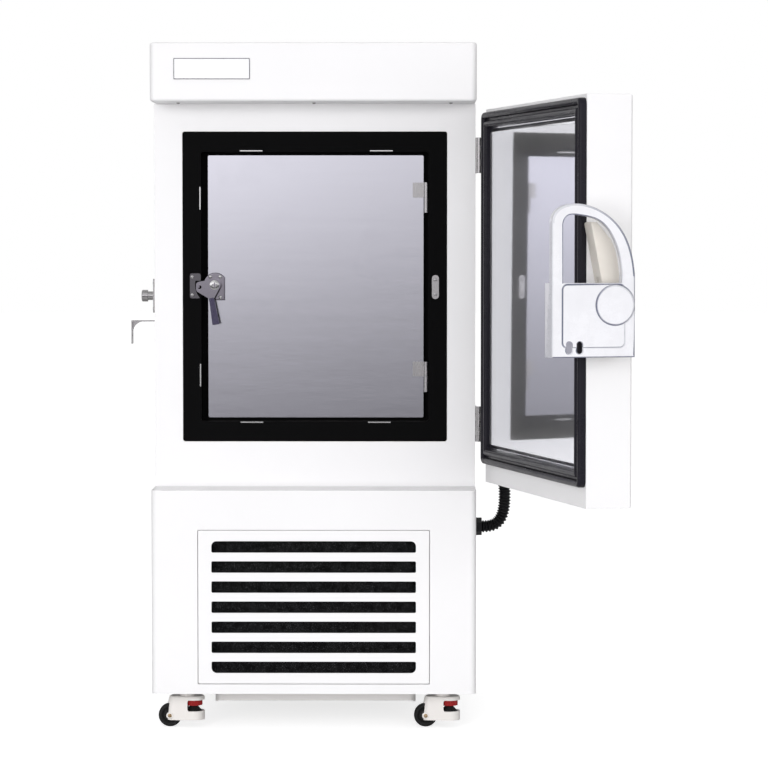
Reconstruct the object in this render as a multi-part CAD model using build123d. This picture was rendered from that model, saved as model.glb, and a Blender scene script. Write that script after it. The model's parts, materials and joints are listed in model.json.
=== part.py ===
# Ultra low temperature freezer on four casters, with its insulated outer door standing open.
# Millimetres, +Z up. The origin is on the floor under the middle of the cabinet.
# +X is the hinge side and -Y is the front.
import math
import os

from build123d import *

# Cabinet
CABINET_WIDTH = 680.0
CABINET_DEPTH = 700.0
BASE_Z = 80.5
LOWER_HEIGHT = 427.5
DOOR_ZONE_HEIGHT = 810.6
HEADER_HEIGHT = 122.4
FRONT_RECESS = 110.0
CORNER_RADIUS = 13.0
HEADER_LIP_RADIUS = 6.0
SHEET = 1.5
FIT = 0.3
RUNNING_FIT = 0.05
OVERRUN = 2.0

HALF_WIDTH = CABINET_WIDTH / 2
FRONT_Y = -CABINET_DEPTH / 2
BACK_Y = CABINET_DEPTH / 2
WALL_Y = FRONT_Y + FRONT_RECESS
DECK_Z = BASE_Z + LOWER_HEIGHT
HEADER_Z = DECK_Z + DOOR_ZONE_HEIGHT
TOP_Z = HEADER_Z + HEADER_HEIGHT

# Throat frame, chamber and shelves
THROAT_WIDTH = 560.0
THROAT_HEIGHT = 656.0
THROAT_Z = 932.0
REVEAL_WIDTH = 482.0
REVEAL_HEIGHT = 571.0
FRAME_WALL = 4.0
REVEAL_DEPTH = 38.0
LEDGE_WIDTH = 27.0
SLEEVE_DEPTH = 30.0
THROAT_RADIUS = 5.0
TANK_DEPTH = 430.0
TANK_LAP = 12.0
TANK_WALL = 1.2
TANK_RADIUS = 10.0
COIL_SPACE = 12.0
COIL_TUBE_RADIUS = 4.8
COIL_TURNS = 6
SHELF_COUNT = 2
SHELF_DROP = 18.0
SHELF_GAP = 6.0
SHELF_SLOTS = 5
SHELF_SLOT_WIDTH = 9.0
RAIL_HEIGHT = 20.0
RAIL_REACH = 15.0

# Outer door, drawn shut and then turned to its rest angle
DOOR_HINGE_INSET = 0.6
DOOR_WIDTH = 672.3
DOOR_THICKNESS = 91.9
DOOR_GAP = 15.3
DOOR_SILL = 10.5
DOOR_HEIGHT = 787.4
DOOR_EDGE_RADIUS = 5.0
DOOR_SHEET = 1.2
DOOR_REST_ANGLE = 104.8
GASKET_WIDTH = 32.0
GASKET_TOP_INSET = 7.0
GASKET_BOTTOM_INSET = 40.1
GASKET_FREE_INSET = 2.0
GASKET_HINGE_INSET = 7.6
GASKET_RADIUS = 14.0
GASKET_BASE = 6.0
GASKET_GROOVE = 5.0
PAN_RISE = 6.0
PAN_BEVEL = 8.0
PAN_INSET = 3.0
PANEL_WIDTH = 240.0
PANEL_HEIGHT = 118.0
PANEL_Z = 1190.0
PANEL_PROUD = 2.5
PANEL_DEPTH = 14.0
PANEL_RADIUS = 12.0
DISPLAY_WIDTH = 96.0
DISPLAY_HEIGHT = 46.0
DISPLAY_DEPTH = 1.2
KEY_SIZE = 20.0
KEY_COUNT = 4

DOOR_HINGE_SIDE_X = HALF_WIDTH - DOOR_HINGE_INSET
FREE_X = DOOR_HINGE_SIDE_X - DOOR_WIDTH
INNER_Y = WALL_Y - DOOR_GAP
OUTER_Y = INNER_Y - DOOR_THICKNESS
DOOR_Z = DECK_Z + DOOR_SILL
DOOR_TOP_Z = DOOR_Z + DOOR_HEIGHT

# Outer hinges
HINGE_OUT = 8.0
HINGE_FORWARD = 3.0
BARREL_RADIUS = 6.0
HINGE_PIN_RADIUS = 3.0
HINGE_LENGTH = 75.0
HINGE_KNUCKLES = 5
KNUCKLE_GAP = 0.4
LEAF = 3.0
LEAF_REACH = 40.0
LEAF_START = 5.2
UPPER_HINGE_Z = 1210.0
LOWER_HINGE_Z = 641.0
LEAF_SCREW_RADIUS = 4.0
LEAF_SCREW_RISE = 1.2

HINGE_X = HALF_WIDTH + HINGE_OUT
HINGE_Y = WALL_Y - HINGE_FORWARD

# Door handle: n runs forward from the door's inner face, s out from its free edge
LEVER_REAR_N = -96.0
LEVER_WIDTH = 163.0
LEVER_FOOT_Z = 810.0
LEVER_HEIGHT = 286.0
LEVER_FACE_S = 86.0
LEVER_RIM_S = 44.0
LEVER_SHALLOW_S = 63.5
LOOP_REAR_S = 69.0
LEVER_WALL = 3.5
LEVER_EDGE_RADIUS = 2.2
LOOP_HEIGHT = 147.0
LOOP_BAR = 21.0
HUB_N = 27.5
HUB_Z = 907.7
HUB_CAP_RADIUS = 40.0
HUB_CAP_RISE = 2.5
LEVER_BOSS_RADIUS = 17.0
LATCH_SHAFT_RADIUS = 8.0
LATCH_TURN = 10.0
COVER_INSET = 21.0
COVER_FOOT = 19.0
COVER_RADIUS = 9.0
COVER_RISE = 1.6
COVER_GROOVE = 2.2
LOCK_HOLE_RISE = 18.5
LOCK_HOLE_PITCH = 20.5
LOCK_HOLE_WIDTH = 12.0
LOCK_HOLE_HEIGHT = 23.0
PEDESTAL_DEPTH = 42.0
PEDESTAL_WALL = 4.0
PEDESTAL_FOOT = 6.0
HOOK_S = 17.5
HOOK_THICKNESS = 4.0
HOOK_ARM = 30.0
HOOK_BEAK = 11.0
HOOK_CLEARANCE = 1.0
HOOK_SLOT_CLEARANCE = 2.0

# Strike and lock bracket on the left wall
STRIKE_BACK = 47.0
STRIKE_Z = 912.5
STRIKE_PLATE = 6.0
STRIKE_PLATE_HEIGHT = 72.0
STRIKE_PLATE_WIDTH = 30.0
STRIKE_SCREW_PITCH = 54.0
STRIKE_SCREW_RADIUS = 5.0
STRIKE_NECK_RADIUS = 9.25
STRIKE_NECK_LENGTH = 12.0
STRIKE_HEAD_RADIUS = 12.5
STRIKE_HEAD_LENGTH = 13.0
STRIKE_HEAD_ROUND = 3.0
BRACKET_PLATE = 2.5
BRACKET_WIDTH = 22.0
BRACKET_REACH = 53.0
BRACKET_Z = 860.0
BRACKET_DROP = 50.0
BRACKET_BRACE = 14.0
BRACKET_GUSSET = 24.0
BRACKET_HOLE_RADIUS = 5.5
STRIKE_Y = WALL_Y + STRIKE_BACK

# Inner door, its hinges and latch
INNER_DOOR_WIDTH = 460.0
INNER_DOOR_HEIGHT = 559.3
INNER_DOOR_X = 1.4
INNER_DOOR_BACK = 25.0
INNER_DOOR_RETURN = 8.0
INNER_DOOR_SHEET = 1.2
INNER_DOOR_RADIUS = 4.0
SEAL_INSET = 5.0
SEAL_WIDTH = 14.0
SEAL_ROUND = 3.0
INNER_BARREL_RADIUS = 4.8
INNER_PIN_RADIUS = 2.5
INNER_HINGE_LENGTH = 64.0
INNER_HINGE_PIN_REACH = 26.0
INNER_HINGE_OUT = 4.4
INNER_HINGE_BACK = 8.0
INNER_HINGE_SHARES = (0.158, 0.838)
INNER_LEAF = 1.8
INNER_LEAF_REACH = 24.0
LATCH_X = -212.4
LATCH_Z = 936.0
LATCH_BASE_ARCH = 26.0
LATCH_BASE_LEFT = 14.0
LATCH_BASE_RIGHT = 20.6
LATCH_BASE_BELOW = 33.0
LATCH_BASE_PLATE = 4.5
LATCH_BASE_ROUND = 2.0
LATCH_BOSS_RADIUS = 12.5
LATCH_BOSS_RISE = 21.0
LATCH_PIN_RADIUS = 4.0
LATCH_SCREW_RADIUS = 3.4
LATCH_SCREW_PITCH = 21.0
LATCH_SCREW_ABOVE = 17.0
LATCH_SCREW_BELOW = 26.5
LATCH_LEVER_PLATE = 3.0
LATCH_LEVER_RISE = 11.5
LATCH_ARM_REACH = 39.0
LATCH_RING_WIDTH = 15.0
LATCH_RING_HEIGHT = 23.0
LATCH_RING_DROP = 4.5
LATCH_RING_HOLE = 4.0
LATCH_ROOT_RADIUS = 7.0
LATCH_ROOT_OUT = 6.5
LATCH_ROOT_DROP = 24.0
TONGUE_WIDTH = 7.0
TONGUE_HEIGHT = 9.0
GRIP_DROP = 27.0
GRIP_LENGTH = 57.5
GRIP_WIDTH = 15.0
GRIP_ROOT_WIDTH = 10.5
GRIP_NECK = 6.0
GRIP_NECK_LENGTH = 15.0
GRIP_DEPTH = 9.5
GRIP_TILT = 9.5
GRIP_ROUND = 3.0
KEEPER_OUT = 0.8
KEEPER_WIDTH = 23.0
KEEPER_HEIGHT = 53.0
KEEPER_PLATE = 3.0
KEEPER_SCREW_PITCH = 38.0
KEEPER_SCREW_INSET = 5.2
KEEPER_CLEARANCE = 1.5

# Grille, machine bay and its cooling
GRILLE_WIDTH = 484.0
GRILLE_HEIGHT = 322.4
GRILLE_Z = 102.0
GRILLE_SHEET = 2.0
GRILLE_RETURN = 10.0
GRILLE_GAP = 1.2
GRILLE_RADIUS = 3.0
GRILLE_SLOTS = 7
GRILLE_SLOT_WIDTH = 428.0
GRILLE_SLOT_HEIGHT = 24.0
GRILLE_SLOT_PITCH = 42.2
GRILLE_SLOT_RADIUS = 3.0
GRILLE_SLOT_END_RADIUS = 11.0
GRILLE_STUD_RADIUS = 5.0
GRILLE_STUD_INSET = 16.0
FRONT_RETURN = 6.0
CONDENSER_WIDTH = 440.0
CONDENSER_HEIGHT = 300.0
CONDENSER_DEPTH = 50.0
CONDENSER_BACK = 22.0
CONDENSER_FINS = 25
FIN = 1.2
CONDENSER_ROWS = 7
CONDENSER_TUBE_RADIUS = 4.8
CONDENSER_END = 2.0
FILTER_DEPTH = 6.0
SHROUD_DEPTH = 34.0
SHROUD_SHEET = 2.0
FAN_RADIUS = 125.0
FAN_TIP_GAP = 5.0
FAN_HUB_RADIUS = 34.0
FAN_HUB_DEPTH = 24.0
FAN_BLADES = 5
FAN_BLADE = 2.4
FAN_BLADE_CHORD = 62.0
FAN_BLADE_PITCH = 28.0
FAN_SHAFT_RADIUS = 4.0
MOTOR_RADIUS = 38.0
MOTOR_LENGTH = 62.0
MOTOR_GAP = 7.0
MOTOR_ARM = 8.0
PAN_WIDTH = 428.0
PAN_LENGTH = 470.0
PAN_Z = 48.7
PAN_TAB = 3.5
PAN_TAB_WIDTH = 6.0
PAN_FLANGE = 14.0
COMPRESSOR_RADIUS = 74.0
COMPRESSOR_HEIGHT = 205.0
COMPRESSOR_FLAT_SHARE = 0.62
COMPRESSOR_SEAM = 3.0
COMPRESSOR_FOOT = 70.0
COMPRESSOR_FOOT_PLATE = 4.0
GROMMET_RADIUS = 11.0
GROMMET_HEIGHT = 12.0
COMPRESSOR_X = 104.0
COMPRESSOR_Y = 60.0
EXCHANGER_RADIUS = 42.0
EXCHANGER_HEIGHT = 330.0
EXCHANGER_X = 0.0
EXCHANGER_Y = 190.0
TUBE_RADIUS = 4.8
TUBE_BEND = 16.0
DRIER_RADIUS = 15.0
DRIER_LENGTH = 90.0
CONTROL_BOX_WIDTH = 90.0
CONTROL_BOX_LENGTH = 240.0
CONTROL_BOX_HEIGHT = 190.0
CONTROL_BOX_Z = 240.0
CONTROL_BOX_RADIUS = 4.0
REAR_COVER_INSET = 26.0
REAR_SLOTS = 9
REAR_SLOT_WIDTH = 300.0
REAR_SLOT_HEIGHT = 8.0
REAR_SLOT_PITCH = 22.0
REAR_SLOT_Z = 200.0
INLET_X = 250.0
INLET_Z = 190.0
INLET_WIDTH = 48.0
INLET_HEIGHT = 30.0
INLET_DEPTH = 22.0
INLET_FLANGE = 3.0
INLET_PIN_RADIUS = 2.4

# Casters
CASTER_X = 271.0
CASTER_SETBACK = 80.0
WHEEL_RADIUS = 24.6
WHEEL_WIDTH = 21.0
WHEEL_OFFSET = 36.0
HUB_RADIUS = 15.0
HUB_RECESS = 3.0
TYRE_ROUND = 4.0
AXLE_RADIUS = 4.0
HOUSING_TOP_Z = 66.0
HOUSING_FOOT_Z = 15.0
HOUSING_RADIUS = 23.0
FORK_RADIUS = 17.0
FORK_END = 45.0
FORK_GAP = 1.2
HOUSING_ROUND = 4.0
FOOT_OFFSET = 14.0
FOOT_RADIUS = 19.0
FOOT_WALL_GAP = 0.6
PAD_Z = 16.0
PAD_HEIGHT = 28.0
PAD_CONE_SHARE = 0.55
PAD_ROUND = 3.0
THUMBWHEEL_Z = 45.5
THUMBWHEEL_HEIGHT = 11.5
THUMBWHEEL_RADIUS = 18.3
THUMBWHEEL_TEETH = 24
THUMBWHEEL_TOOTH = 1.4
SCREW_RADIUS = 5.0
SCREW_TOP_Z = 64.7
SCREW_BOSS_RADIUS = 8.0
WINDOW_WIDTH = 27.0
WINDOW_FOOT_Z = 34.0
CASTER_PLATE = 4.0
CASTER_PLATE_SIZE = 70.0
SWIVEL_RADIUS = 16.0
SWIVEL_GAP = 0.4
SWIVEL_PIN_RADIUS = 9.0

# Hose between the machine bay and the door
HOSE_RADIUS = 13.5
HOSE_LOW_Z = 417.0
HOSE_LOW_BACK = 62.0
HOSE_HIGH_Z = 576.0
HOSE_STRAIGHT = 19.0
HOSE_BEND_SHARE = 0.45
HOSE_ROUTE = (
    (394.0, -177.0, 428.0),
    (404.0, -175.0, 452.0),
    (406.0, -172.0, 490.0),
    (403.0, -168.0, 520.0),
    (396.0, -166.0, 544.0),
    (392.5, -181.0, 567.0),
)
HOSE_GLAND_RADIUS = 19.0
HOSE_GLAND_LENGTH = 16.0
HOSE_GLAND_FLANGE = 4.0
HOSE_FLANGE_RADIUS = 22.0
GLAND_NUT_SIDES = 6


def centred(width, middle=0):
    return middle - width / 2, middle + width / 2


def grown(span, amount):
    return span[0] - amount, span[1] + amount


def slab(x, y, z, radius=0, along=Axis.Z):
    """A box between pairs of limits, with the edges along one axis rounded."""
    spans = (x, y, z)
    size = [high - low for low, high in spans]
    middle = [(low + high) / 2 for low, high in spans]
    body = Pos(*middle) * Box(*size)
    if radius:
        body = fillet(body.edges().filter_by(along), radius)
    return body


def rod(radius, start, end):
    """A round bar between two points."""
    way = Vector(*end) - Vector(*start)
    upright = (Align.CENTER, Align.CENTER, Align.MIN)
    return Plane(origin=start, z_dir=way) * Cylinder(radius, way.length, align=upright)


def turned(points, centre, axis=(0, 0, 1)):
    """A solid turned from half of its section, given as radius and height."""
    outline = Polyline(*[(radius, 0, height) for radius, height in points], close=True)
    shape = revolve(make_face(outline), Axis.Z)
    return Plane(origin=centre, z_dir=axis) * shape


def pipe(points, radius, bends):
    """A tube's outside along straight runs joined by tangent arcs."""
    path = FilletPolyline(*points, radius=bends)
    return sweep(Plane(origin=path @ 0, z_dir=path % 0) * Circle(radius), path=path)


def ring(x, y, z, width, radius):
    """A picture frame that lies across the depth."""
    inner_radius = max(radius - width, 0)
    hole = slab(grown(x, -width), grown(y, OVERRUN), grown(z, -width), inner_radius, Axis.Y)
    return slab(x, y, z, radius, Axis.Y) - hole


def joined(pieces):
    return pieces[0] + pieces[1:]


# Sheet metal shells of the cabinet

GRILLE_SPAN_X = centred(GRILLE_WIDTH)
GRILLE_SPAN_Z = (GRILLE_Z, GRILLE_Z + GRILLE_HEIGHT)
WIDTH_SPAN = (-HALF_WIDTH, HALF_WIDTH)
THROAT_X = centred(THROAT_WIDTH)
THROAT_SPAN_Z = centred(THROAT_HEIGHT, THROAT_Z)
REVEAL_X = centred(REVEAL_WIDTH)
REVEAL_Z = centred(REVEAL_HEIGHT, THROAT_Z)
HOSE_LOW = (HALF_WIDTH, WALL_Y + HOSE_LOW_BACK, HOSE_LOW_Z)
REAR_COVER_X = grown(WIDTH_SPAN, -REAR_COVER_INSET)
REAR_COVER_Z = grown((BASE_Z, DECK_Z), -REAR_COVER_INSET)


def lower_housing():
    deep = (FRONT_Y, BACK_Y)
    tall = (BASE_Z, DECK_Z)
    outside = slab(WIDTH_SPAN, deep, tall, CORNER_RADIUS)
    inside_z = (BASE_Z - OVERRUN, DECK_Z - SHEET)
    inside = slab(grown(WIDTH_SPAN, -SHEET), grown(deep, -SHEET), inside_z, CORNER_RADIUS - SHEET)
    door = slab(
        grown(GRILLE_SPAN_X, GRILLE_GAP),
        (FRONT_Y - OVERRUN, FRONT_Y + SHEET + OVERRUN),
        grown(GRILLE_SPAN_Z, GRILLE_GAP),
        GRILLE_RADIUS,
        Axis.Y,
    )
    rear_y = (BACK_Y - SHEET - OVERRUN, BACK_Y + OVERRUN)
    rear = slab(grown(REAR_COVER_X, FIT), rear_y, grown(REAR_COVER_Z, FIT), CONTROL_BOX_RADIUS, Axis.Y)
    hose = rod(
        HOSE_RADIUS + FIT,
        (HALF_WIDTH - SHEET - OVERRUN, HOSE_LOW[1], HOSE_LOW_Z),
        (HALF_WIDTH + OVERRUN, HOSE_LOW[1], HOSE_LOW_Z),
    )
    foot_x = grown(WIDTH_SPAN, -SHEET)
    foot = slab(foot_x, grown(deep, -SHEET), (BASE_Z, BASE_Z + SHEET), CORNER_RADIUS - SHEET)
    foot_hole = slab(centred(PAN_WIDTH), centred(PAN_LENGTH), grown((BASE_Z, BASE_Z + SHEET), OVERRUN))
    stop_x = grown(GRILLE_SPAN_X, GRILLE_GAP + FRONT_RETURN)
    stop_z = grown(GRILLE_SPAN_Z, GRILLE_GAP + FRONT_RETURN)
    stop_y = (FRONT_Y + GRILLE_RETURN + FIT, FRONT_Y + GRILLE_RETURN + FIT + SHEET)
    stop = ring(stop_x, stop_y, stop_z, FRONT_RETURN + GRILLE_GAP + GRILLE_STUD_INSET, GRILLE_RADIUS)
    flange_y = (FRONT_Y, stop_y[1])
    flange = ring(stop_x, flange_y, stop_z, FRONT_RETURN, GRILLE_RADIUS)
    return outside - inside + (foot - foot_hole) + flange + stop - door - rear - hose


def cabinet_shell():
    deep = (WALL_Y, BACK_Y)
    tall = (DECK_Z, HEADER_Z)
    outside = slab(WIDTH_SPAN, deep, tall)
    inside = slab(grown(WIDTH_SPAN, -SHEET), grown(deep, -SHEET), grown(tall, -SHEET))
    throat_y = (WALL_Y - OVERRUN, WALL_Y + SHEET + OVERRUN)
    throat = slab(grown(THROAT_X, FIT), throat_y, grown(THROAT_SPAN_Z, FIT), THROAT_RADIUS, Axis.Y)
    return outside - inside - throat


def lipped(body, radius):
    """Rounds the whole upper and lower rim of a body whose upright edges are rounded."""
    rims = body.faces().sort_by(Axis.Z)
    return fillet(rims[0].edges() + rims[-1].edges(), radius)


def header_housing():
    deep = (FRONT_Y, BACK_Y)
    tall = (HEADER_Z, TOP_Z)
    outside = slab(WIDTH_SPAN, deep, tall, CORNER_RADIUS)
    outside = lipped(outside, HEADER_LIP_RADIUS)
    inside_x = grown(WIDTH_SPAN, -SHEET)
    inside = slab(inside_x, grown(deep, -SHEET), grown(tall, -SHEET), CORNER_RADIUS - SHEET)
    inside = lipped(inside, HEADER_LIP_RADIUS - SHEET)
    seat_y = (WALL_Y + SHEET, BACK_Y - SHEET)
    seat = slab(grown(WIDTH_SPAN, -SHEET), seat_y, (HEADER_Z - OVERRUN, HEADER_Z + SHEET + OVERRUN))
    return outside - inside - seat


def cabinet_foam():
    """Insulation between the shell and the chamber, stepped round the throat frame."""
    outer_y = grown((WALL_Y, BACK_Y), -SHEET)
    body = slab(grown(WIDTH_SPAN, -SHEET), outer_y, grown((DECK_Z, HEADER_Z), -SHEET))
    border_y = (WALL_Y, WALL_Y + FRAME_WALL)
    reveal_y = (WALL_Y, WALL_Y + REVEAL_DEPTH + FRAME_WALL + FIT)
    sleeve_y = (WALL_Y, reveal_y[1] + SLEEVE_DEPTH)
    border = slab(grown(THROAT_X, FIT), border_y, grown(THROAT_SPAN_Z, FIT))
    around = FRAME_WALL + FIT
    reveal = slab(grown(REVEAL_X, around), reveal_y, grown(REVEAL_Z, around))
    inner = FRAME_WALL - LEDGE_WIDTH + FIT
    sleeve = slab(grown(REVEAL_X, inner), sleeve_y, grown(REVEAL_Z, inner))
    chamber_y = (WALL_Y, TANK_BACK_Y + COIL_SPACE)
    chamber = slab(grown(TANK_X, COIL_SPACE), chamber_y, grown(TANK_Z, COIL_SPACE), TANK_RADIUS, Axis.Y)
    return body - border - reveal - sleeve - chamber


# Chamber

TANK_X = grown(REVEAL_X, -LEDGE_WIDTH - FIT)
TANK_Z = grown(REVEAL_Z, -LEDGE_WIDTH - FIT)
TANK_FRONT_Y = WALL_Y + REVEAL_DEPTH + FRAME_WALL + SLEEVE_DEPTH - TANK_LAP
TANK_BACK_Y = TANK_FRONT_Y + TANK_DEPTH


def throat_frame():
    """Moulded breaker frame: flat border, reveal, ledge for the inner door's seal, and sleeve."""
    border_width = (THROAT_WIDTH - REVEAL_WIDTH) / 2
    border_height = (THROAT_HEIGHT - REVEAL_HEIGHT) / 2
    face = slab(THROAT_X, (WALL_Y, WALL_Y + FRAME_WALL), THROAT_SPAN_Z, THROAT_RADIUS, Axis.Y)
    opening_x = grown(THROAT_X, -border_width)
    opening_z = grown(THROAT_SPAN_Z, -border_height)
    opening = slab(opening_x, grown((WALL_Y, WALL_Y + FRAME_WALL), OVERRUN), opening_z, THROAT_RADIUS, Axis.Y)
    back_y = WALL_Y + REVEAL_DEPTH + FRAME_WALL
    wall_x = grown(REVEAL_X, FRAME_WALL)
    wall_z = grown(REVEAL_Z, FRAME_WALL)
    reveal = ring(wall_x, (WALL_Y, back_y), wall_z, FRAME_WALL, THROAT_RADIUS + FRAME_WALL)
    ledge_y = (back_y - FRAME_WALL, back_y)
    ledge = ring(wall_x, ledge_y, wall_z, LEDGE_WIDTH + FRAME_WALL, THROAT_RADIUS + FRAME_WALL)
    sleeve_x = grown(REVEAL_X, FRAME_WALL - LEDGE_WIDTH)
    sleeve_z = grown(REVEAL_Z, FRAME_WALL - LEDGE_WIDTH)
    sleeve_y = (back_y - FRAME_WALL, back_y + SLEEVE_DEPTH)
    sleeve = ring(sleeve_x, sleeve_y, sleeve_z, FRAME_WALL, TANK_RADIUS + FIT + FRAME_WALL)
    return (face - opening) + reveal + ledge + sleeve


def inner_tank():
    deep = (TANK_FRONT_Y, TANK_BACK_Y)
    outside = slab(TANK_X, deep, TANK_Z, TANK_RADIUS, Axis.Y)
    inside_y = (TANK_FRONT_Y - OVERRUN, TANK_BACK_Y - TANK_WALL)
    inside_x = grown(TANK_X, -TANK_WALL)
    inside_z = grown(TANK_Z, -TANK_WALL)
    return outside - slab(inside_x, inside_y, inside_z, TANK_RADIUS - TANK_WALL, Axis.Y)


def evaporator_coil():
    """Rings of tube round the tank's walls, linked by a riser at the back."""
    reach = COIL_TUBE_RADIUS + FIT
    wide = TANK_X[1] - TANK_X[0] + 2 * reach
    high = TANK_Z[1] - TANK_Z[0] + 2 * reach
    first = TANK_FRONT_Y + TANK_LAP + SLEEVE_DEPTH
    step = (TANK_BACK_Y - first - COIL_SPACE) / (COIL_TURNS - 1)
    turns = []
    for turn in range(COIL_TURNS):
        plane = Plane(origin=(0, first + turn * step, THROAT_Z), x_dir=(1, 0, 0), z_dir=(0, 1, 0))
        path = (plane * RectangleRounded(wide, high, TANK_RADIUS + reach)).face().outer_wire()
        turns.append(sweep(Plane(origin=path @ 0, z_dir=path % 0) * Circle(COIL_TUBE_RADIUS), path=path))
    return turns


def shelf_level(index):
    clear = TANK_Z[1] - TANK_Z[0]
    return TANK_Z[0] + clear * (index + 1) / (SHELF_COUNT + 1)


def shelf_tray(level):
    """A stainless tray with turned-down edges and vent slots."""
    x = grown(TANK_X, -TANK_WALL - SHELF_GAP)
    y = (TANK_FRONT_Y + SLEEVE_DEPTH, TANK_BACK_Y - TANK_WALL - SHELF_GAP)
    tray = slab(x, y, (level - SHELF_DROP, level), FRAME_WALL, Axis.Z)
    inside = slab(grown(x, -SHEET), grown(y, -SHEET), (level - SHELF_DROP - OVERRUN, level - SHEET))
    side_gap = slab(grown(x, OVERRUN), grown(y, -SHELF_DROP), (level - SHELF_DROP - OVERRUN, level - SHEET))
    pitch = (y[1] - y[0]) / (SHELF_SLOTS + 1)
    slots = []
    for index in range(SHELF_SLOTS):
        middle = y[0] + pitch * (index + 1)
        slot_z = grown((level - SHEET, level), OVERRUN)
        slot_x = grown(x, -SHELF_DROP * 2)
        slots.append(slab(slot_x, centred(SHELF_SLOT_WIDTH, middle), slot_z, SHELF_SLOT_WIDTH / 2 - FIT))
    return tray - inside - side_gap - joined(slots)


def shelves():
    return [shelf_tray(shelf_level(index)) for index in range(SHELF_COUNT)]


def shelf_supports():
    """Angle rails on the tank's side walls that the trays rest on."""
    y = grown((TANK_FRONT_Y + SLEEVE_DEPTH, TANK_BACK_Y - SLEEVE_DEPTH), -SHELF_DROP)
    rails = []
    for index in range(SHELF_COUNT):
        top = shelf_level(index) - SHEET
        for side in (-1, 1):
            wall = side * (TANK_X[1] - TANK_WALL)
            flat_x = sorted((wall, wall - side * RAIL_REACH))
            web_x = sorted((wall, wall - side * SHEET))
            flat = slab(flat_x, y, (top - SHEET, top))
            web = slab(web_x, y, (top - RAIL_HEIGHT, top))
            rails.append(flat + web)
    return rails


# Outer door, drawn shut

DOOR_X = (FREE_X, DOOR_HINGE_SIDE_X)
DOOR_SPAN_Z = (DOOR_Z, DOOR_TOP_Z)
GASKET_X = (FREE_X + GASKET_FREE_INSET, DOOR_HINGE_SIDE_X - GASKET_HINGE_INSET)
GASKET_Z = (DOOR_Z + GASKET_BOTTOM_INSET, DOOR_TOP_Z - GASKET_TOP_INSET)
LINER_X = grown(GASKET_X, -GASKET_WIDTH / 2)
LINER_Z = grown(GASKET_Z, -GASKET_WIDTH / 2)
HOSE_HIGH_Y = INNER_Y - DOOR_THICKNESS / 2
CONTROL_X = centred(PANEL_WIDTH, FREE_X + DOOR_WIDTH / 2)
CONTROL_Z = centred(PANEL_HEIGHT, PANEL_Z)


def swung(shape):
    """Turns a piece of the shut door to where the door stands at rest."""
    return shape.rotate(Axis((HINGE_X, HINGE_Y, 0), (0, 0, 1)), DOOR_REST_ANGLE)


def door_hose_hole(radius):
    start = (DOOR_HINGE_SIDE_X - HOSE_GLAND_LENGTH - FIT, HOSE_HIGH_Y, HOSE_HIGH_Z)
    return rod(radius, start, (DOOR_HINGE_SIDE_X + OVERRUN, HOSE_HIGH_Y, HOSE_HIGH_Z))


def panel_pocket():
    pocket_y = (OUTER_Y - OVERRUN, OUTER_Y + PANEL_DEPTH + FIT)
    return slab(grown(CONTROL_X, FIT), pocket_y, grown(CONTROL_Z, FIT), PANEL_RADIUS + FIT, Axis.Y)


def door_core():
    """The space inside the door's sheet metal."""
    deep = (OUTER_Y, INNER_Y)
    core = slab(grown(DOOR_X, -DOOR_SHEET), grown(deep, -DOOR_SHEET), grown(DOOR_SPAN_Z, -DOOR_SHEET))
    front = core.faces().sort_by(Axis.Y)[0]
    return fillet(front.edges(), DOOR_EDGE_RADIUS - DOOR_SHEET)


def door_shell():
    deep = (OUTER_Y, INNER_Y)
    outside = slab(DOOR_X, deep, DOOR_SPAN_Z)
    front = outside.faces().sort_by(Axis.Y)[0]
    outside = fillet(front.edges(), DOOR_EDGE_RADIUS)
    mouth_y = (INNER_Y - DOOR_SHEET - OVERRUN, INNER_Y + OVERRUN)
    mouth = slab(grown(LINER_X, FIT), mouth_y, grown(LINER_Z, FIT), GASKET_BASE, Axis.Y)
    return outside - door_core() - mouth - door_hose_hole(HOSE_RADIUS + FIT) - panel_pocket()


def door_foam():
    return door_core() - door_hose_hole(HOSE_RADIUS + FIT) - panel_pocket()


def door_liner():
    """Stainless inner face with a raised pan whose rim slopes."""
    flange = slab(LINER_X, (INNER_Y - DOOR_SHEET, INNER_Y), LINER_Z, GASKET_BASE, Axis.Y)
    pan_x = grown(LINER_X, -GASKET_WIDTH / 2 - PAN_INSET)
    pan_z = grown(LINER_Z, -GASKET_WIDTH / 2 - PAN_INSET)
    wide = pan_x[1] - pan_x[0]
    high = pan_z[1] - pan_z[0]
    middle = ((pan_x[0] + pan_x[1]) / 2, INNER_Y, (pan_z[0] + pan_z[1]) / 2)
    slope = math.degrees(math.atan2(PAN_BEVEL, PAN_RISE))
    plane = Plane(origin=middle, x_dir=(1, 0, 0), z_dir=(0, 1, 0))
    raised = plane * extrude(RectangleRounded(wide, high, GASKET_RADIUS), PAN_RISE, taper=slope)
    hollow = raised.moved(Location((0, -DOOR_SHEET, 0)))
    return flange + raised - hollow


def door_gasket():
    """Magnetic gasket: a base strip with two bulbs and a groove between them."""
    high_y = WALL_Y - FIT
    bulb = (GASKET_WIDTH - GASKET_GROOVE) / 2
    base = ring(GASKET_X, (INNER_Y, INNER_Y + GASKET_BASE), GASKET_Z, GASKET_WIDTH, GASKET_RADIUS)
    outer = ring(GASKET_X, (INNER_Y, high_y), GASKET_Z, bulb, GASKET_RADIUS)
    inset = bulb + GASKET_GROOVE
    inner = ring(grown(GASKET_X, -inset), (INNER_Y, high_y), grown(GASKET_Z, -inset), bulb, GASKET_BASE)
    strip = []
    for part in (outer, inner):
        crown = part.faces().sort_by(Axis.Y)[-1]
        strip.append(fillet(crown.edges(), bulb / 2 - FIT))
    return base + strip[0] + strip[1]


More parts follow.
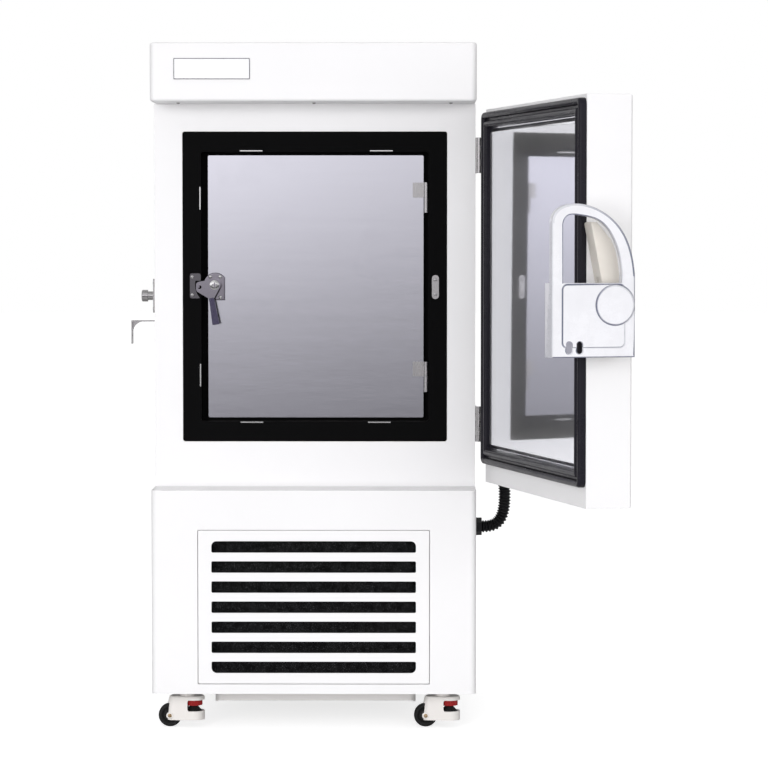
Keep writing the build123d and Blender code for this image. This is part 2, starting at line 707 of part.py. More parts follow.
def control_panel():
    """Display and keypad housing let into the door's outer face."""
    deep = (OUTER_Y - PANEL_PROUD, OUTER_Y + PANEL_DEPTH)
    body = slab(CONTROL_X, deep, CONTROL_Z, PANEL_RADIUS, Axis.Y)
    face = body.faces().sort_by(Axis.Y)[0]
    body = fillet(face.edges(), PANEL_PROUD / 2)
    left = CONTROL_X[0] + PANEL_RADIUS
    window_y = (deep[0] - OVERRUN, deep[0] + DISPLAY_DEPTH)
    top = CONTROL_Z[1] - PANEL_RADIUS
    window = slab((left, left + DISPLAY_WIDTH), window_y, (top - DISPLAY_HEIGHT, top), DISPLAY_DEPTH, Axis.Y)
    body = body - window
    gap = (PANEL_WIDTH - 2 * PANEL_RADIUS - KEY_COUNT * KEY_SIZE) / (KEY_COUNT - 1)
    for index in range(KEY_COUNT):
        start = left + index * (KEY_SIZE + gap)
        foot = CONTROL_Z[0] + PANEL_RADIUS
        key = slab((start, start + KEY_SIZE), window_y, (foot, foot + KEY_SIZE), KEY_SIZE / 4, Axis.Y)
        rim = slab(grown((start, start + KEY_SIZE), -DISPLAY_DEPTH), window_y,
                   grown((foot, foot + KEY_SIZE), -DISPLAY_DEPTH), KEY_SIZE / 5, Axis.Y)
        body = body - (key - rim)
    return body


# Outer hinges

def knuckle_span(middle, index):
    length = HINGE_LENGTH / HINGE_KNUCKLES
    low = middle - HINGE_LENGTH / 2 + index * length
    return low + KNUCKLE_GAP / 2, low + length - KNUCKLE_GAP / 2


def hinge_leaf(middle, first, wall_x, way):
    """One leaf: every other knuckle, a web to each, and the plate with its screws."""
    height = centred(HINGE_LENGTH, middle)
    plate_y = sorted((HINGE_Y + way * LEAF_START, HINGE_Y + way * LEAF_REACH))
    leaf = slab((wall_x, wall_x + LEAF), plate_y, height, LEAF, Axis.X)
    for index in range(first, HINGE_KNUCKLES, 2):
        low, high = knuckle_span(middle, index)
        barrel = rod(BARREL_RADIUS, (HINGE_X, HINGE_Y, low), (HINGE_X, HINGE_Y, high))
        web_y = sorted((HINGE_Y, HINGE_Y + way * LEAF_START + way * LEAF))
        web = slab((wall_x + FIT, wall_x + LEAF), web_y, (low, high))
        leaf = leaf + barrel + web
    screw_y = HINGE_Y + way * (LEAF_REACH + LEAF_START) / 2
    for share in (-1, 1):
        at = (wall_x + LEAF, screw_y, middle + share * HINGE_LENGTH / 3)
        leaf = leaf + turned(
            ((0, -LEAF / 2), (LEAF_SCREW_RADIUS, -LEAF / 2), (LEAF_SCREW_RADIUS, 0),
             (LEAF_SCREW_RADIUS / 2, LEAF_SCREW_RISE), (0, LEAF_SCREW_RISE)),
            at, (1, 0, 0))
    return leaf


def hinge_bore(middle, extra):
    low, high = centred(HINGE_LENGTH + 2 * OVERRUN, middle)
    return rod(HINGE_PIN_RADIUS + extra, (HINGE_X, HINGE_Y, low), (HINGE_X, HINGE_Y, high))


def outer_hinges():
    """Cabinet leaves with their pins."""
    leaves = []
    for middle in (UPPER_HINGE_Z, LOWER_HINGE_Z):
        leaf = hinge_leaf(middle, 0, HALF_WIDTH, 1)
        low, high = centred(HINGE_LENGTH, middle)
        pin = rod(HINGE_PIN_RADIUS, (HINGE_X, HINGE_Y, low), (HINGE_X, HINGE_Y, high))
        leaves.append(leaf + pin)
    return leaves


def door_hinge_leaves():
    leaves = []
    for middle in (UPPER_HINGE_Z, LOWER_HINGE_Z):
        leaf = hinge_leaf(middle, 1, DOOR_HINGE_SIDE_X, -1)
        leaves.append(leaf - hinge_bore(middle, RUNNING_FIT))
    return leaves


# Door handle, drawn shut in its own plane: x forward, y up, z away from the door's edge

HANDLE_PLANE = Plane(origin=(FREE_X, INNER_Y, 0), x_dir=(0, -1, 0), z_dir=(-1, 0, 0))
LEVER_FRONT_N = LEVER_REAR_N + LEVER_WIDTH
LEVER_TOP_Z = LEVER_FOOT_Z + LEVER_HEIGHT
LOOP_Z = LEVER_TOP_Z - LOOP_HEIGHT
STRIKE_N = INNER_Y - STRIKE_Y
LOCK_HOLE_Z = LEVER_FOOT_Z + LOCK_HOLE_RISE
# Shares of the lever's width and height, from its rear foot
LEVER_ARC_SHARES = ((0, 0.875), (0.07, 0.965), (0.22, 1.0), (0.45, 0.99), (0.725, 0.905),
                    (0.865, 0.81), (0.965, 0.665), (1.0, 0.53))
EYE_ARC_SHARES = ((0.13, 0.865), (0.19, 0.925), (0.33, 0.928), (0.585, 0.885),
                  (0.725, 0.79), (0.805, 0.67), (0.84, 0.53))
PEDESTAL_SHARES = ((0.69, 0.02), (0.69, 0.49), (0.555, 0.885), (0.63, 0.885), (0.80, 0.77),
                   (0.90, 0.64), (0.94, 0.52), (0.94, 0.02))


def lever_point(share):
    return LEVER_REAR_N + share[0] * LEVER_WIDTH, LEVER_FOOT_Z + share[1] * LEVER_HEIGHT


def lever_outline():
    arc = [lever_point(share) for share in LEVER_ARC_SHARES]
    foot = [(LEVER_FRONT_N, LEVER_FOOT_Z), (LEVER_REAR_N, LEVER_FOOT_Z)]
    edge = Line(arc[-1], foot[0]) + Line(*foot) + Line(foot[1], arc[0]) + Spline(*arc)
    return make_face(edge)


def eye_outline():
    arc = [lever_point(share) for share in EYE_ARC_SHARES]
    low = [(arc[-1][0], LOOP_Z), (arc[0][0], LOOP_Z)]
    edge = Line(arc[-1], low[0]) + Line(*low) + Line(low[1], arc[0]) + Spline(*arc)
    return make_face(edge)


def prism(outline, low, high):
    return Pos(0, 0, low) * extrude(outline, high - low)


def lock_holes():
    holes = []
    for index in (0, 1):
        at = (STRIKE_N + index * LOCK_HOLE_PITCH, LOCK_HOLE_Z)
        slot = Pos(*at) * SlotOverall(LOCK_HOLE_HEIGHT, LOCK_HOLE_WIDTH, rotation=90)
        holes.append(prism(slot, LEVER_RIM_S, LEVER_FACE_S + OVERRUN + COVER_RISE))
    return joined(holes)


def cover_outline():
    x = (LEVER_REAR_N + COVER_INSET, LEVER_FRONT_N - COVER_INSET)
    y = (LEVER_FOOT_Z + COVER_FOOT, LOOP_Z - LEVER_WALL)
    plate = Pos(sum(x) / 2, sum(y) / 2) * RectangleRounded(x[1] - x[0], y[1] - y[0], COVER_RADIUS)
    return plate + Pos(HUB_N, HUB_Z) * Circle(HUB_CAP_RADIUS - LEVER_EDGE_RADIUS)


def handle_lever():
    """Moulded lever: a hollow lower body, open behind, with the D-shaped grip loop above it."""
    eye = prism(eye_outline(), LEVER_RIM_S - OVERRUN, LEVER_FACE_S + OVERRUN)
    body = prism(lever_outline(), LEVER_RIM_S, LEVER_FACE_S)
    face = body.faces().sort_by(Axis.Z)[-1]
    body = fillet(face.edges(), LEVER_EDGE_RADIUS) - eye
    rear_x = LEVER_REAR_N + LEVER_WALL
    front_x = LEVER_FRONT_N - LEVER_WALL
    floor_y = LEVER_FOOT_Z + LEVER_WALL
    roof_y = LOOP_Z - LEVER_WALL
    skin = LEVER_FACE_S - LEVER_WALL
    hollow = slab((rear_x, front_x), (floor_y, roof_y), (LEVER_RIM_S - OVERRUN, skin))
    open_back = slab(
        (rear_x, LEVER_FRONT_N + OVERRUN), (LEVER_FOOT_Z - OVERRUN, roof_y),
        (LEVER_RIM_S - OVERRUN, LEVER_SHALLOW_S))
    above = slab(
        grown((LEVER_REAR_N, LEVER_FRONT_N), OVERRUN), (roof_y + LEVER_WALL, LEVER_TOP_Z + OVERRUN),
        (LEVER_RIM_S - OVERRUN, LOOP_REAR_S))
    roof = slab(
        (rear_x, LEVER_FRONT_N + OVERRUN), (roof_y - OVERRUN, roof_y + LEVER_WALL + OVERRUN),
        (LEVER_RIM_S - OVERRUN, LEVER_SHALLOW_S))
    boss = Pos(HUB_N, HUB_Z, LEVER_RIM_S) * Cylinder(
        LEVER_BOSS_RADIUS, skin - LEVER_RIM_S, align=(Align.CENTER, Align.CENTER, Align.MIN))
    bore = Pos(HUB_N, HUB_Z, LEVER_RIM_S - OVERRUN) * Cylinder(
        LATCH_SHAFT_RADIUS, skin - LEVER_RIM_S, align=(Align.CENTER, Align.CENTER, Align.MIN))
    recess = prism(offset(cover_outline(), FIT), LEVER_FACE_S - COVER_RISE, LEVER_FACE_S + OVERRUN)
    body = body - hollow - open_back - above - roof + boss - bore - recess - lock_holes()
    return HANDLE_PLANE * body


def handle_cover():
    """Inset plate with its hub cap and grooves."""
    plate = prism(cover_outline(), LEVER_FACE_S - COVER_RISE, LEVER_FACE_S)
    cap = Pos(HUB_N, HUB_Z, LEVER_FACE_S) * Cylinder(
        HUB_CAP_RADIUS - LEVER_EDGE_RADIUS, HUB_CAP_RISE, align=(Align.CENTER, Align.CENTER, Align.MIN))
    crown = cap.faces().sort_by(Axis.Z)[-1]
    cap = fillet(crown.edges(), HUB_CAP_RISE - FIT)
    groove_x = (LEVER_REAR_N + COVER_INSET + COVER_RADIUS, HUB_N - HUB_CAP_RADIUS - COVER_RADIUS)
    groove_z = (LEVER_FACE_S - COVER_RISE / 2, LEVER_FACE_S + OVERRUN)
    step = (LOOP_Z - LOCK_HOLE_Z) / 4
    for index in range(3):
        groove_y = centred(COVER_GROOVE, LOCK_HOLE_Z + step * (index + 1))
        plate = plate - slab(groove_x, groove_y, groove_z)
    return HANDLE_PLANE * (plate + cap - lock_holes())


def hook_outline():
    """The latch hook as it lies when it holds the strike's neck."""
    reach = STRIKE_N - HUB_N
    seat = STRIKE_NECK_RADIUS + HOOK_CLEARANCE
    top = STRIKE_Z + seat + HOOK_BEAK
    rear = STRIKE_N - seat - HOOK_BEAK
    arm = Polyline(
        (HUB_N, HUB_Z - HOOK_ARM / 2), (STRIKE_N + seat, STRIKE_Z - HOOK_BEAK / 2),
        (rear, STRIKE_Z - HOOK_BEAK / 2), (rear + HOOK_BEAK / 3, top),
        (HUB_N + reach / 4, top), (HUB_N, HUB_Z + HOOK_ARM / 2), close=True)
    notch = Pos(STRIKE_N, STRIKE_Z) * Circle(seat)
    mouth = Pos(STRIKE_N, STRIKE_Z - seat) * Rectangle(seat * 2, seat * 2)
    return make_face(arm) + Pos(HUB_N, HUB_Z) * Circle(HOOK_ARM / 2) - notch - mouth


def latch_hook():
    """Hook plate and the shaft that the lever turns."""
    lowered = prism(hook_outline(), HOOK_S, HOOK_S + HOOK_THICKNESS)
    about_hub = Axis((HUB_N, HUB_Z, 0), (0, 0, 1))
    hook = lowered.rotate(about_hub, -LATCH_TURN)
    shaft = Pos(HUB_N, HUB_Z, PEDESTAL_WALL + FIT) * Cylinder(
        LATCH_SHAFT_RADIUS, LEVER_FACE_S - LEVER_WALL - OVERRUN - PEDESTAL_WALL - FIT,
        align=(Align.CENTER, Align.CENTER, Align.MIN))
    return HANDLE_PLANE * (hook + shaft)


def handle_base():
    """Pedestal on the door's free edge, slotted for the hook and bored for its shaft."""
    outline = make_face(Polyline(*[lever_point(share) for share in PEDESTAL_SHARES], close=True))
    outline = fillet(outline.vertices(), PEDESTAL_WALL)
    body = prism(outline, 0, PEDESTAL_DEPTH)
    crown = body.faces().sort_by(Axis.Z)[-1]
    body = fillet(crown.edges(), LEVER_EDGE_RADIUS)
    core = prism(offset(outline, -PEDESTAL_WALL), PEDESTAL_FOOT, PEDESTAL_DEPTH - PEDESTAL_WALL)
    hub = Pos(HUB_N, HUB_Z, 0) * Cylinder(
        LEVER_BOSS_RADIUS, PEDESTAL_DEPTH, align=(Align.CENTER, Align.CENTER, Align.MIN))
    inside = body & hub
    swing = HOOK_ARM / 2 + HOOK_SLOT_CLEARANCE
    slot_y = (HUB_Z - swing * 2, HUB_Z + swing * 3)
    slot_z = grown((HOOK_S, HOOK_S + HOOK_THICKNESS), HOOK_SLOT_CLEARANCE)
    slot = slab((LEVER_REAR_N, HUB_N + swing), slot_y, slot_z)
    bore = Pos(HUB_N, HUB_Z, PEDESTAL_WALL) * Cylinder(
        LATCH_SHAFT_RADIUS + RUNNING_FIT, PEDESTAL_DEPTH, align=(Align.CENTER, Align.CENTER, Align.MIN))
    return HANDLE_PLANE * (body - core + inside - slot - bore)


# Strike and lock bracket

def strike_plate():
    """Plate under the knob, with its two screws."""
    x = (-HALF_WIDTH - STRIKE_PLATE, -HALF_WIDTH)
    plate = slab(x, centred(STRIKE_PLATE_WIDTH, STRIKE_Y), centred(STRIKE_PLATE_HEIGHT, STRIKE_Z),
                 STRIKE_PLATE, Axis.X)
    for share in (-1, 1):
        at = (x[0], STRIKE_Y, STRIKE_Z + share * STRIKE_SCREW_PITCH / 2)
        head = turned(((0, 0), (STRIKE_SCREW_RADIUS, 0), (STRIKE_SCREW_RADIUS * 2 / 3, SHEET), (0, SHEET)),
                      at, (-1, 0, 0))
        plate = plate + head
    return plate


def strike_knob():
    """Turned knob that the door's hook catches by its neck."""
    neck = STRIKE_NECK_LENGTH
    tip = neck + STRIKE_HEAD_LENGTH
    knob = turned(
        ((0, 0), (STRIKE_NECK_RADIUS, 0), (STRIKE_NECK_RADIUS, neck), (STRIKE_HEAD_RADIUS, neck),
         (STRIKE_HEAD_RADIUS, tip), (0, tip)),
        (-HALF_WIDTH - STRIKE_PLATE, STRIKE_Y, STRIKE_Z), (-1, 0, 0))
    rim = knob.faces().sort_by(Axis.X)[0]
    return fillet(rim.edges(), STRIKE_HEAD_ROUND)


def door_strike():
    return [strike_plate(), strike_knob()]


def lock_bracket():
    """Bent plate with a down-turned flange that takes a padlock."""
    wall = -HALF_WIDTH
    tip = wall - BRACKET_REACH
    y = centred(BRACKET_WIDTH, STRIKE_Y)
    deck = slab((tip, wall), y, (BRACKET_Z - BRACKET_PLATE, BRACKET_Z))
    brace = slab((wall - BRACKET_PLATE, wall), y, (BRACKET_Z - BRACKET_PLATE, BRACKET_Z + BRACKET_BRACE))
    flange = slab((tip, tip + BRACKET_PLATE), y, (BRACKET_Z - BRACKET_DROP, BRACKET_Z))
    gusset_x = (tip, tip + BRACKET_PLATE + BRACKET_GUSSET)
    gusset_z = (BRACKET_Z - BRACKET_PLATE - BRACKET_GUSSET, BRACKET_Z)
    gusset = slab(gusset_x, centred(BRACKET_PLATE, STRIKE_Y), gusset_z)
    scoop = rod(BRACKET_GUSSET, (gusset_x[1], y[0], gusset_z[0]), (gusset_x[1], y[1], gusset_z[0]))
    hole_z = BRACKET_Z - BRACKET_DROP + LOCK_HOLE_RISE
    hole = rod(BRACKET_HOLE_RADIUS, (tip - OVERRUN, STRIKE_Y, hole_z), (tip + BRACKET_PLATE + OVERRUN, STRIKE_Y, hole_z))
    return deck + brace + flange + (gusset - scoop) - hole


# Inner door

INNER_X = centred(INNER_DOOR_WIDTH, INNER_DOOR_X)
INNER_Z = centred(INNER_DOOR_HEIGHT, THROAT_Z)
INNER_FRONT_Y = WALL_Y + INNER_DOOR_BACK
INNER_HINGE_X = INNER_X[1] + INNER_HINGE_OUT
INNER_HINGE_Y = WALL_Y + INNER_HINGE_BACK
LEDGE_Y = WALL_Y + REVEAL_DEPTH


def inner_door_panel():
    deep = (INNER_FRONT_Y, INNER_FRONT_Y + INNER_DOOR_RETURN)
    outside = slab(INNER_X, deep, INNER_Z, INNER_DOOR_RADIUS, Axis.Y)
    face = outside.faces().sort_by(Axis.Y)[0]
    outside = fillet(face.edges(), INNER_DOOR_SHEET)
    inside_y = (INNER_FRONT_Y + INNER_DOOR_SHEET, deep[1] + OVERRUN)
    inside = slab(grown(INNER_X, -INNER_DOOR_SHEET), inside_y, grown(INNER_Z, -INNER_DOOR_SHEET))
    return outside - inside


def inner_door_seal():
    deep = (INNER_FRONT_Y + INNER_DOOR_SHEET, LEDGE_Y - FIT)
    strip = ring(grown(INNER_X, -SEAL_INSET), deep, grown(INNER_Z, -SEAL_INSET), SEAL_WIDTH, SEAL_WIDTH + SEAL_ROUND)
    crown = strip.faces().sort_by(Axis.Y)[-1]
    return fillet(crown.edges(), SEAL_ROUND)


def inner_hinge_levels():
    low, high = INNER_Z
    return [low + share * (high - low) for share in INNER_HINGE_SHARES]


def inner_hinge_leaves():
    """Lower knuckles on the frame, each with the pin that the door lifts off."""
    leaves = []
    for middle in inner_hinge_levels():
        foot = middle - INNER_HINGE_LENGTH / 2
        seam = middle - KNUCKLE_GAP / 2
        at = (INNER_HINGE_X, INNER_HINGE_Y)
        knuckle = rod(INNER_BARREL_RADIUS, (*at, foot), (*at, seam))
        pin = rod(INNER_PIN_RADIUS, (*at, foot), (*at, middle + INNER_HINGE_PIN_REACH))
        wall = REVEAL_X[1] - FIT
        plate_y = (INNER_HINGE_Y, INNER_HINGE_Y + INNER_HINGE_BACK * 2)
        plate = slab((wall - INNER_LEAF, wall), plate_y, (foot, seam))
        leaves.append(knuckle + pin + plate)
    return leaves


def inner_door_hinges():
    leaves = []
    for middle in inner_hinge_levels():
        seam = middle + KNUCKLE_GAP / 2
        top = middle + INNER_HINGE_LENGTH / 2
        at = (INNER_HINGE_X, INNER_HINGE_Y)
        knuckle = rod(INNER_BARREL_RADIUS, (*at, seam), (*at, top))
        bore = rod(INNER_PIN_RADIUS + RUNNING_FIT, (*at, seam - OVERRUN),
                   (*at, middle + INNER_HINGE_PIN_REACH + FIT))
        web_x = (INNER_X[1] - INNER_LEAF, INNER_X[1] + FIT)
        web = slab(web_x, (INNER_HINGE_Y, INNER_FRONT_Y), (seam, top))
        plate_x = (INNER_X[1] - INNER_LEAF_REACH, INNER_X[1] + FIT)
        plate = slab(plate_x, (INNER_FRONT_Y - INNER_LEAF, INNER_FRONT_Y), (seam, top))
        leaves.append(knuckle + web + plate - bore)
    return leaves


# Inner latch

LATCH_BOSS_Y = INNER_FRONT_Y - LATCH_BOSS_RISE
LEVER_BACK_Y = LATCH_BOSS_Y - FIT
LEVER_TIP_Y = LEVER_BACK_Y - LATCH_LEVER_RISE


ARM_Y = (LEVER_TIP_Y, LEVER_TIP_Y + LATCH_LEVER_PLATE)
RING_X = LATCH_X - LATCH_ARM_REACH + LATCH_RING_WIDTH / 2
RING_Z = LATCH_Z - LATCH_RING_DROP


def latch_base():
    """Rounded plate on the door with its boss, the lever's pin and four screws."""
    foot = (LATCH_X, INNER_FRONT_Y, LATCH_Z)
    x = (LATCH_X - LATCH_BASE_LEFT, LATCH_X + LATCH_BASE_RIGHT)
    y = (INNER_FRONT_Y - LATCH_BASE_PLATE, INNER_FRONT_Y)
    arch = rod(LATCH_BASE_ARCH, foot, (LATCH_X, y[0], LATCH_Z))
    arch = arch & slab((LATCH_X - LATCH_BASE_ARCH, x[1]), y, grown((LATCH_Z, LATCH_Z), LATCH_BASE_ARCH))
    plate = arch + slab(x, y, (LATCH_Z - LATCH_BASE_BELOW, LATCH_Z))
    face = plate.faces().sort_by(Axis.Y)[0]
    plate = fillet(face.edges(), LATCH_BASE_ROUND)
    boss = rod(LATCH_BOSS_RADIUS, foot, (LATCH_X, LATCH_BOSS_Y, LATCH_Z))
    pin = rod(LATCH_PIN_RADIUS, foot, (LATCH_X, LEVER_TIP_Y + LATCH_LEVER_PLATE, LATCH_Z))
    body = plate + boss + pin
    for screw_x in centred(LATCH_SCREW_PITCH, LATCH_X):
        for screw_z in (LATCH_Z - LATCH_SCREW_BELOW, LATCH_Z + LATCH_SCREW_ABOVE):
            head = ((0, 0), (LATCH_SCREW_RADIUS, 0), (LATCH_SCREW_RADIUS / 2, LEAF_SCREW_RISE),
                    (0, LEAF_SCREW_RISE))
            body = body + turned(head, (screw_x, y[0], screw_z), (0, -1, 0))
    return body


def lever_plate():
    """Flat plate of the lever, drawn round its hub, its ring end and the root of its grip."""
    spread = (LATCH_RING_HEIGHT - LATCH_RING_WIDTH) / 2
    rounds = [Circle(LATCH_BOSS_RADIUS), Pos(-LATCH_ROOT_OUT, -LATCH_ROOT_DROP) * Circle(LATCH_ROOT_RADIUS)]
    for side in (-1, 1):
        place = Pos(RING_X - LATCH_X, RING_Z - LATCH_Z + side * spread)
        rounds.append(place * Circle(LATCH_RING_WIDTH / 2))
    outline = make_hull([edge for face in rounds for edge in face.edges()])
    plane = Plane(origin=(LATCH_X, ARM_Y[1], LATCH_Z), x_dir=(1, 0, 0), z_dir=(0, -1, 0))
    return plane * extrude(outline, LATCH_LEVER_PLATE)


def on_grip(shape):
    """Carry a shape that hangs from the origin to the lever's root and tilt it."""
    return Pos(LATCH_X - LATCH_ROOT_OUT, 0, LATCH_Z - GRIP_DROP) * Rot(0, -GRIP_TILT, 0) * shape


def grip_neck():
    return on_grip(slab(centred(GRIP_NECK), ARM_Y, (-GRIP_NECK_LENGTH, LATCH_ROOT_RADIUS / 2)))


def latch_lever():
    """Hub, plate, neck and the tongue that seats in the keeper."""
    hub = rod(LATCH_BOSS_RADIUS, (LATCH_X, LEVER_BACK_Y, LATCH_Z), (LATCH_X, LEVER_TIP_Y, LATCH_Z))
    eye = rod(LATCH_RING_HOLE, (RING_X, ARM_Y[0] - OVERRUN, RING_Z), (RING_X, ARM_Y[1], RING_Z))
    tip_x = LATCH_X - LATCH_ARM_REACH
    tongue_z = centred(TONGUE_HEIGHT, LATCH_Z - LATCH_LEVER_PLATE / 2)
    tongue = slab((tip_x, tip_x + TONGUE_WIDTH), (ARM_Y[0], WALL_Y - FIT), tongue_z)
    bore = rod(LATCH_PIN_RADIUS + RUNNING_FIT, (LATCH_X, LEVER_BACK_Y + OVERRUN, LATCH_Z),
               (LATCH_X, ARM_Y[1] - FIT, LATCH_Z))
    return hub + lever_plate() + tongue + grip_neck() - eye - bore


def latch_grip():
    """Moulded grip on the lever's root, wider towards its tip."""
    middle_y = LEVER_TIP_Y - FIT + GRIP_DEPTH / 2
    plane = Plane(origin=(0, middle_y, 0), x_dir=(1, 0, 0), z_dir=(0, 0, -1))
    root = Rectangle(GRIP_ROOT_WIDTH, GRIP_DEPTH)
    tip = Rectangle(GRIP_WIDTH, GRIP_DEPTH)
    body = loft([plane * root, plane * Pos(0, 0, GRIP_LENGTH) * tip])
    body = fillet(body.edges().filter_by(GeomType.LINE), GRIP_ROUND / 2)
    return on_grip(body) - lever_plate() - grip_neck()


def latch_keeper():
    """Plate on the frame with a curved channel that the tongue swings out of."""
    right = REVEAL_X[0] - KEEPER_OUT
    x = (right - KEEPER_WIDTH, right)
    y = (WALL_Y - KEEPER_PLATE, WALL_Y)
    plate = slab(x, y, centred(KEEPER_HEIGHT, LATCH_Z - OVERRUN), LATCH_BASE_PLATE, Axis.Y)
    swing = math.hypot(LATCH_ARM_REACH, TONGUE_HEIGHT) + KEEPER_CLEARANCE
    channel = rod(swing, (LATCH_X, y[0] - OVERRUN, LATCH_Z), (LATCH_X, y[1] + OVERRUN, LATCH_Z))
    below = slab((x[0] - OVERRUN, LATCH_X), grown(y, OVERRUN),
                 (LATCH_Z - KEEPER_HEIGHT, LATCH_Z + TONGUE_HEIGHT))
    plate = plate - (channel & below)
    for share in (-1, 1):
        at = (x[0] + KEEPER_SCREW_INSET, y[0], LATCH_Z - OVERRUN + share * KEEPER_SCREW_PITCH / 2)
        plate = plate + turned(((0, 0), (LATCH_SCREW_RADIUS, 0), (LATCH_SCREW_RADIUS / 2, LEAF_SCREW_RISE),
                                (0, LEAF_SCREW_RISE)), at, (0, -1, 0))
    return plate


# Grille and machine bay

def grille_panel():
    """Pressed front panel with rows of slots and a turned-back rim."""
    deep = (FRONT_Y, FRONT_Y + GRILLE_RETURN)
    outside = slab(GRILLE_SPAN_X, deep, GRILLE_SPAN_Z, GRILLE_RADIUS, Axis.Y)
    face = outside.faces().sort_by(Axis.Y)[0]
    outside = fillet(face.edges(), GRILLE_SHEET / 2)
    inside_y = (FRONT_Y + GRILLE_SHEET, deep[1] + OVERRUN)
    inside = slab(grown(GRILLE_SPAN_X, -GRILLE_SHEET), inside_y, grown(GRILLE_SPAN_Z, -GRILLE_SHEET))
    panel = outside - inside
    middle = sum(GRILLE_SPAN_Z) / 2
    cut_y = (FRONT_Y - OVERRUN, FRONT_Y + GRILLE_SHEET + OVERRUN)
    for index in range(GRILLE_SLOTS):
        row = index - (GRILLE_SLOTS - 1) / 2
        z = centred(GRILLE_SLOT_HEIGHT, middle - row * GRILLE_SLOT_PITCH)
        slot = slab(centred(GRILLE_SLOT_WIDTH), cut_y, z)
        corners = slot.edges().filter_by(Axis.Y).sort_by(Axis.Z)
        radii = [GRILLE_SLOT_RADIUS, GRILLE_SLOT_RADIUS]
        if index == 0:
            radii[1] = GRILLE_SLOT_END_RADIUS
        if index == GRILLE_SLOTS - 1:
            radii[0] = GRILLE_SLOT_END_RADIUS
        slot = fillet(corners[:2], radii[0])
        slot = fillet(slot.edges().filter_by(Axis.Y).sort_by(Axis.Z)[-2:], radii[1])
        panel = panel - slot
    for x in grown(GRILLE_SPAN_X, -GRILLE_STUD_INSET):
        for z in grown(GRILLE_SPAN_Z, -GRILLE_STUD_INSET):
            stud = rod(GRILLE_STUD_RADIUS, (x, FRONT_Y + GRILLE_SHEET, z), (x, deep[1], z))
            panel = panel + stud
    return panel


CONDENSER_FRONT_Y = FRONT_Y + CONDENSER_BACK
CONDENSER_BACK_Y = CONDENSER_FRONT_Y + CONDENSER_DEPTH
CONDENSER_Z = centred(CONDENSER_HEIGHT, sum(GRILLE_SPAN_Z) / 2)
FLOOR_Z = PAN_Z + SHEET
FAN_Z = sum(CONDENSER_Z) / 2
SHROUD_BACK_Y = CONDENSER_BACK_Y + SHROUD_DEPTH
MOTOR_FRONT_Y = SHROUD_BACK_Y + MOTOR_GAP


def air_filter():
    """Framed mesh pad that stands against the condenser."""
    y = (CONDENSER_FRONT_Y - FIT - FILTER_DEPTH, CONDENSER_FRONT_Y - FIT)
    x = centred(CONDENSER_WIDTH)
    pad = slab(x, grown(y, -FILTER_DEPTH / 3), CONDENSER_Z)
    return pad + ring(x, y, CONDENSER_Z, FILTER_DEPTH, FILTER_DEPTH / 2)


def condenser_coil():
    """Finned coil between two end plates, with return bends outside them."""
    y = (CONDENSER_FRONT_Y, CONDENSER_BACK_Y)
    x = centred(CONDENSER_WIDTH)
    ends_x = ((x[0], x[0] + CONDENSER_END), (x[1] - CONDENSER_END, x[1]))
    body = [slab(end_x, y, CONDENSER_Z) for end_x in ends_x]
    step = CONDENSER_WIDTH / (CONDENSER_FINS + 1)
    for index in range(CONDENSER_FINS):
        fin_x = centred(FIN, x[0] + step * (index + 1))
        body.append(slab(fin_x, y, CONDENSER_Z))
    pitch = CONDENSER_HEIGHT / CONDENSER_ROWS
    middle_y = sum(y) / 2
    for index in range(CONDENSER_ROWS):
        z = CONDENSER_Z[0] + pitch * (index + 1 / 2)
        body.append(rod(CONDENSER_TUBE_RADIUS, (x[0], middle_y, z), (x[1], middle_y, z)))
        if index < CONDENSER_ROWS - 1:
            side = index % 2
            bend = Pos(x[side], middle_y, z + pitch / 2) * Rot(90, 0, 0) * Torus(pitch / 2, CONDENSER_TUBE_RADIUS)
            away = x[side] + (2 * side - 1) * pitch
            half = slab(sorted((x[side], away)), y, grown((z, z + pitch), CONDENSER_TUBE_RADIUS * 2))
            body.append(bend & half)
    return joined(body)


def fan_shroud():
    """Plate with a round throat behind the condenser, with arms for the motor."""
    y = (CONDENSER_BACK_Y, CONDENSER_BACK_Y + SHROUD_SHEET)
    x = centred(CONDENSER_WIDTH)
    axis = (0, FAN_Z)
    throat = FAN_RADIUS + FAN_TIP_GAP
    plate = slab(x, y, (BASE_Z + SHEET, CONDENSER_Z[1]))
    collar = rod(throat + SHROUD_SHEET, (axis[0], y[0], axis[1]), (axis[0], SHROUD_BACK_Y, axis[1]))
    bore = rod(throat, (axis[0], y[0] - OVERRUN, axis[1]), (axis[0], SHROUD_BACK_Y + OVERRUN, axis[1]))
    body = plate + collar - bore
    arm_y = (SHROUD_BACK_Y - SHROUD_SHEET, MOTOR_FRONT_Y)
    cup = rod(MOTOR_RADIUS, (0, SHROUD_BACK_Y, FAN_Z), (0, MOTOR_FRONT_Y, FAN_Z))
    eye = rod(MOTOR_RADIUS - MOTOR_ARM, (0, SHROUD_BACK_Y - OVERRUN, FAN_Z), (0, MOTOR_FRONT_Y + OVERRUN, FAN_Z))
    start = MOTOR_RADIUS - MOTOR_ARM / 2
    for angle in (90, 210, 330):
        arm = slab((start, throat + SHROUD_SHEET), (SHROUD_BACK_Y, MOTOR_FRONT_Y), centred(MOTOR_ARM))
        lug = slab((throat, throat + SHROUD_SHEET), arm_y, centred(MOTOR_ARM))
        body = body + Pos(0, 0, FAN_Z) * (arm + lug).rotate(Axis.Y, angle)
    return body + (cup - eye)


